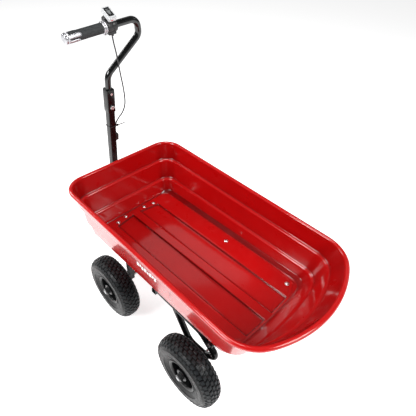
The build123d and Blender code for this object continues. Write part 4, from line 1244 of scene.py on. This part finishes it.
def switch_pod():
    """Pod at the front of the housing with a bore for the start button."""
    face = rounded_square(POD_HALF_Y, POD_HALF_Z, 0.003)
    rows = []
    for x, inset in ((0.0, 0.0), (0.0185, 0.0), (0.0195, 0.0004), (POD_FRONT, 0.0015)):
        rows.append([Vector((x, POD_Y + p.x * (1 - inset / POD_HALF_Y),
                             POD_Z + p.y * (1 - inset / POD_HALF_Z))) for p in face])
    for depth in (0.0, BORE_DEPTH):
        row = []
        for p in rows[3]:
            aim = Vector((p.y - BUTTON_Y, p.z - BUTTON_Z)).normalized() * BUTTON_BORE
            row.append(Vector((POD_FRONT - depth, BUTTON_Y + aim.x, BUTTON_Z + aim.y)))
        rows.append(row)
    return skinned(rows, around=True, caps=True)


def make_housing():
    """Clamped control housing: split line, cable boss, display stand and switch pod."""
    shape = lathe(rounded(HOUSING_BODY, 0.0005, 2), 64)
    boss = pillow(0.012, 0.014, 0.006, 0.003, 0.0014)
    shape.add(boss.moved(shift(0, 0.017, -0.018)))
    nut = pillow(0.0042, 0.0042, 0.003, 0.004, 0.0008)
    shape.add(nut.moved(shift(-0.005, 0.015, -0.0265)))
    stand = pillow(0.0122, 0.0125, 0.0085, 0.003, 0.0015)
    shape.add(stand.moved(shift(0, 0.017, 0.0195)))
    cradle = pillow(0.0125, 0.012, 0.003, 0.003, 0.0012)
    shape.add(cradle.moved(DISPLAY_MOUNT @ shift(0, 0, -0.0095)))
    shape.add(switch_pod())
    rim = lathe(rounded(BUTTON_RIM, 0.0003, 2), 28)
    shape.add(rim.moved(shift(0.0195, BUTTON_Y, BUTTON_Z) @ FACE_FORWARD))
    piece("housing_shell", shape.moved(HOUSING), "drawbar", PLASTIC,
          ["throttle_housing"])


BUTTON = [(0.0, 0.0), (0.0048, 0.0), (0.0048, 0.0047), (0.0042, 0.0056), (0.0026, 0.0059),
          (0.0, 0.0055)]


def make_button():
    """Start button with a domed face."""
    turn = shift(0.018, BUTTON_Y, BUTTON_Z) @ FACE_FORWARD
    piece("button_cap", lathe(BUTTON, 32).moved(HOUSING @ turn), "button",
          CASING, ["start_button"])


READOUT_BARS = [(-0.0085, 0.003, 0.0016), (-0.0045, 0.0042, 0.0016), (-0.0005, 0.0054, 0.0016),
                (0.0035, 0.0054, 0.0016), (0.0095, 0.005, 0.0009)]


def make_display():
    """White display case with a dark window, a plain bar readout and a small red mark."""
    case = pillow(0.023, 0.0135, 0.0073, 0.0042, 0.0022, 6)
    piece("display_shell", case.moved(DISPLAY @ shift(0, 0, -0.0002)), "drawbar",
          WHITE, ["display_case"])
    window = pillow(0.017, 0.0095, 0.0006, 0.0016, 0.0003)
    piece("window_pane", window.moved(DISPLAY @ shift(0.002, 0, 0.0068)), "drawbar",
          GLASS, ["display_window"])
    readout = Shape()
    for x, half_y, half_x in READOUT_BARS:
        bar = pillow(half_x, half_y, 0.00012, 0.0003, 0.0001, 2)
        readout.add(bar.moved(DISPLAY @ shift(x + 0.002, 0, 0.00742)))
    piece("readout_bars", readout, "drawbar", SEGMENT)
    mark = pillow(0.0006, 0.0042, 0.0014, 0.0004, 0.0003)
    piece("display_mark", mark.moved(DISPLAY @ shift(-0.0227, 0.003, -0.002)),
          "drawbar", RED_MARK)


make_housing()
make_button()
make_display()


# ---------------- marks on the left wall
# Half width and height at one station of the tray's lower wall, and its lean.
WALL_HALF, WALL_HEIGHT, WALL_LEAN = 0.2205, 0.438, 0.0065 / 0.077
# Start along the strip, width and lower and upper ends of each bar.
DECAL_BARS = [(0.0, 0.011, -0.011, 0.01), (0.014, 0.007, -0.006, 0.011),
              (0.024, 0.01, -0.012, 0.005), (0.037, 0.012, -0.01, 0.01),
              (0.052, 0.008, -0.01, 0.004), (0.063, 0.011, -0.011, 0.01),
              (0.077, 0.008, -0.005, 0.01), (0.088, 0.009, -0.011, 0.009)]
DECAL_SLANT = 0.22
DECAL_SINK, DECAL_RISE = -0.0001, 0.00015
# The seam slab is a painted shadow, not a part of the tray.
SEAM_RISE = 0.00012
SEAM_CORNERS = [(-0.0004, -0.013), (0.0004, -0.013), (0.0004, 0.013), (-0.0004, 0.013)]


def on_wall(x, z):
    """Frame on the left wall's outside, its X axis rearward, Y up the wall and Z outward."""
    y = WALL_HALF + (z - WALL_HEIGHT) * WALL_LEAN + SHEET * sqrt(1 + WALL_LEAN * WALL_LEAN)
    rearward = Vector((-1, 0, 0))
    upward = Vector((0, WALL_LEAN, 1)).normalized()
    turn = Matrix((rearward, upward, rearward.cross(upward))).transposed().to_4x4()
    return shift(x, y, z) @ turn


def slab(corners, high):
    """Thin plate over an outline of four corners, sunk a little into the wall."""
    rows = [[Vector((x, y, z)) for x, y in corners] for z in (DECAL_SINK, high)]
    return skinned(rows, around=True, caps=True)


def make_marks():
    """A plain barred decal on the tray's left wall, and a thin dark red slab there that paints the
    shadow of a short vertical seam.
    """
    decal = Shape()
    for start, width, low, high in DECAL_BARS:
        corners = [(start + DECAL_SLANT * low, low), (start + width + DECAL_SLANT * low, low),
                   (start + width + DECAL_SLANT * high, high), (start + DECAL_SLANT * high, high)]
        decal.add(slab(corners, DECAL_RISE))
    piece("wall_decal", decal.moved(on_wall(0.026, 0.418)), "tray", DECAL)
    # Painted shadow: a dark red slab where the seam would cast shade.
    seam = slab(SEAM_CORNERS, SEAM_RISE)
    piece("wall_seam_shadow", seam.moved(on_wall(-0.133, 0.412)), "tray", SEAM_SHADOW)


make_marks()


# ---------------- stage and light
FLOOR_REACH = 14.0
FLOOR_GLOW = 0.74


def make_stage():
    """A plain pale floor that glows a little."""
    corners = [(x * FLOOR_REACH, y * FLOOR_REACH, 0) for x, y in ((-1, -1), (1, -1), (1, 1), (-1, 1))]
    mesh = bpy.data.meshes.new("studio_floor")
    mesh.from_pydata(corners, [], [(0, 1, 2, 3)])
    finish = Finish("studio_floor", Roughness=0.85, Specular_IOR_Level=0.2,
                    Emission_Color=(1, 1, 1, 1), Emission_Strength=FLOOR_GLOW)
    finish.colour(finish.mixed(finish.noise(3, 2), (0.93, 0.93, 0.93), (0.95, 0.95, 0.95)))
    mesh.materials.append(finish.material)
    add_object("studio_floor", mesh)


# Name, place, aimed at, width, height and power of each soft light.
LIGHTS = [
    ("panel_sheen_box", (1.75, -1.4, 2.5), (0.2, -0.05, 0.3), 1.5, 0.8, 2.3),
    ("overhead_box", (0.3, 0.0, 3.5), (0.2, 0.0, 0.3), 1.1, 1.1, 28.0),
    ("rear_box", (-2.4, -0.5, 2.5), (0.0, 0.0, 0.3), 1.3, 1.1, 72.0),
    ("left_box", (0.4, 2.9, 2.5), (0.0, 0.0, 0.3), 1.3, 1.1, 90.0),
    ("front_box", (3.3, 1.3, 2.4), (0.0, 0.0, 0.3), 1.3, 1.1, 50.0),
    ("right_box", (-0.9, -3.0, 2.4), (0.0, 0.0, 0.3), 1.3, 1.1, 4.0),
]
# Strength of the white surround as a light, and as the camera sees it.
SURROUND, SURROUND_SEEN = 0.1, 1.0


def make_lights():
    """Large soft boxes and an even surround that looks white but lights the cart faintly."""
    scene = bpy.context.scene
    for name, place, target, width, height, power in LIGHTS:
        data = bpy.data.lights.new(name, "AREA")
        data.shape = "RECTANGLE"
        data.size, data.size_y = width, height
        data.energy = power
        light = add_object(name, data)
        light.location = place
        aim = Vector(target) - Vector(place)
        light.rotation_euler = aim.to_track_quat("-Z", "Y").to_euler()
    world = bpy.data.worlds.new("studio")
    world.use_nodes = True
    tree = world.node_tree
    background = tree.nodes["Background"]
    background.inputs["Color"].default_value = (1, 1, 1, 1)
    sight = tree.nodes.new("ShaderNodeLightPath")
    strength = tree.nodes.new("ShaderNodeMapRange")
    strength.inputs["To Min"].default_value = SURROUND
    strength.inputs["To Max"].default_value = SURROUND_SEEN
    tree.links.new(sight.outputs["Is Camera Ray"], strength.inputs["Value"])
    tree.links.new(strength.outputs["Result"], background.inputs["Strength"])
    scene.world = world
    scene.view_settings.view_transform = "Standard"


make_stage()
make_lights()
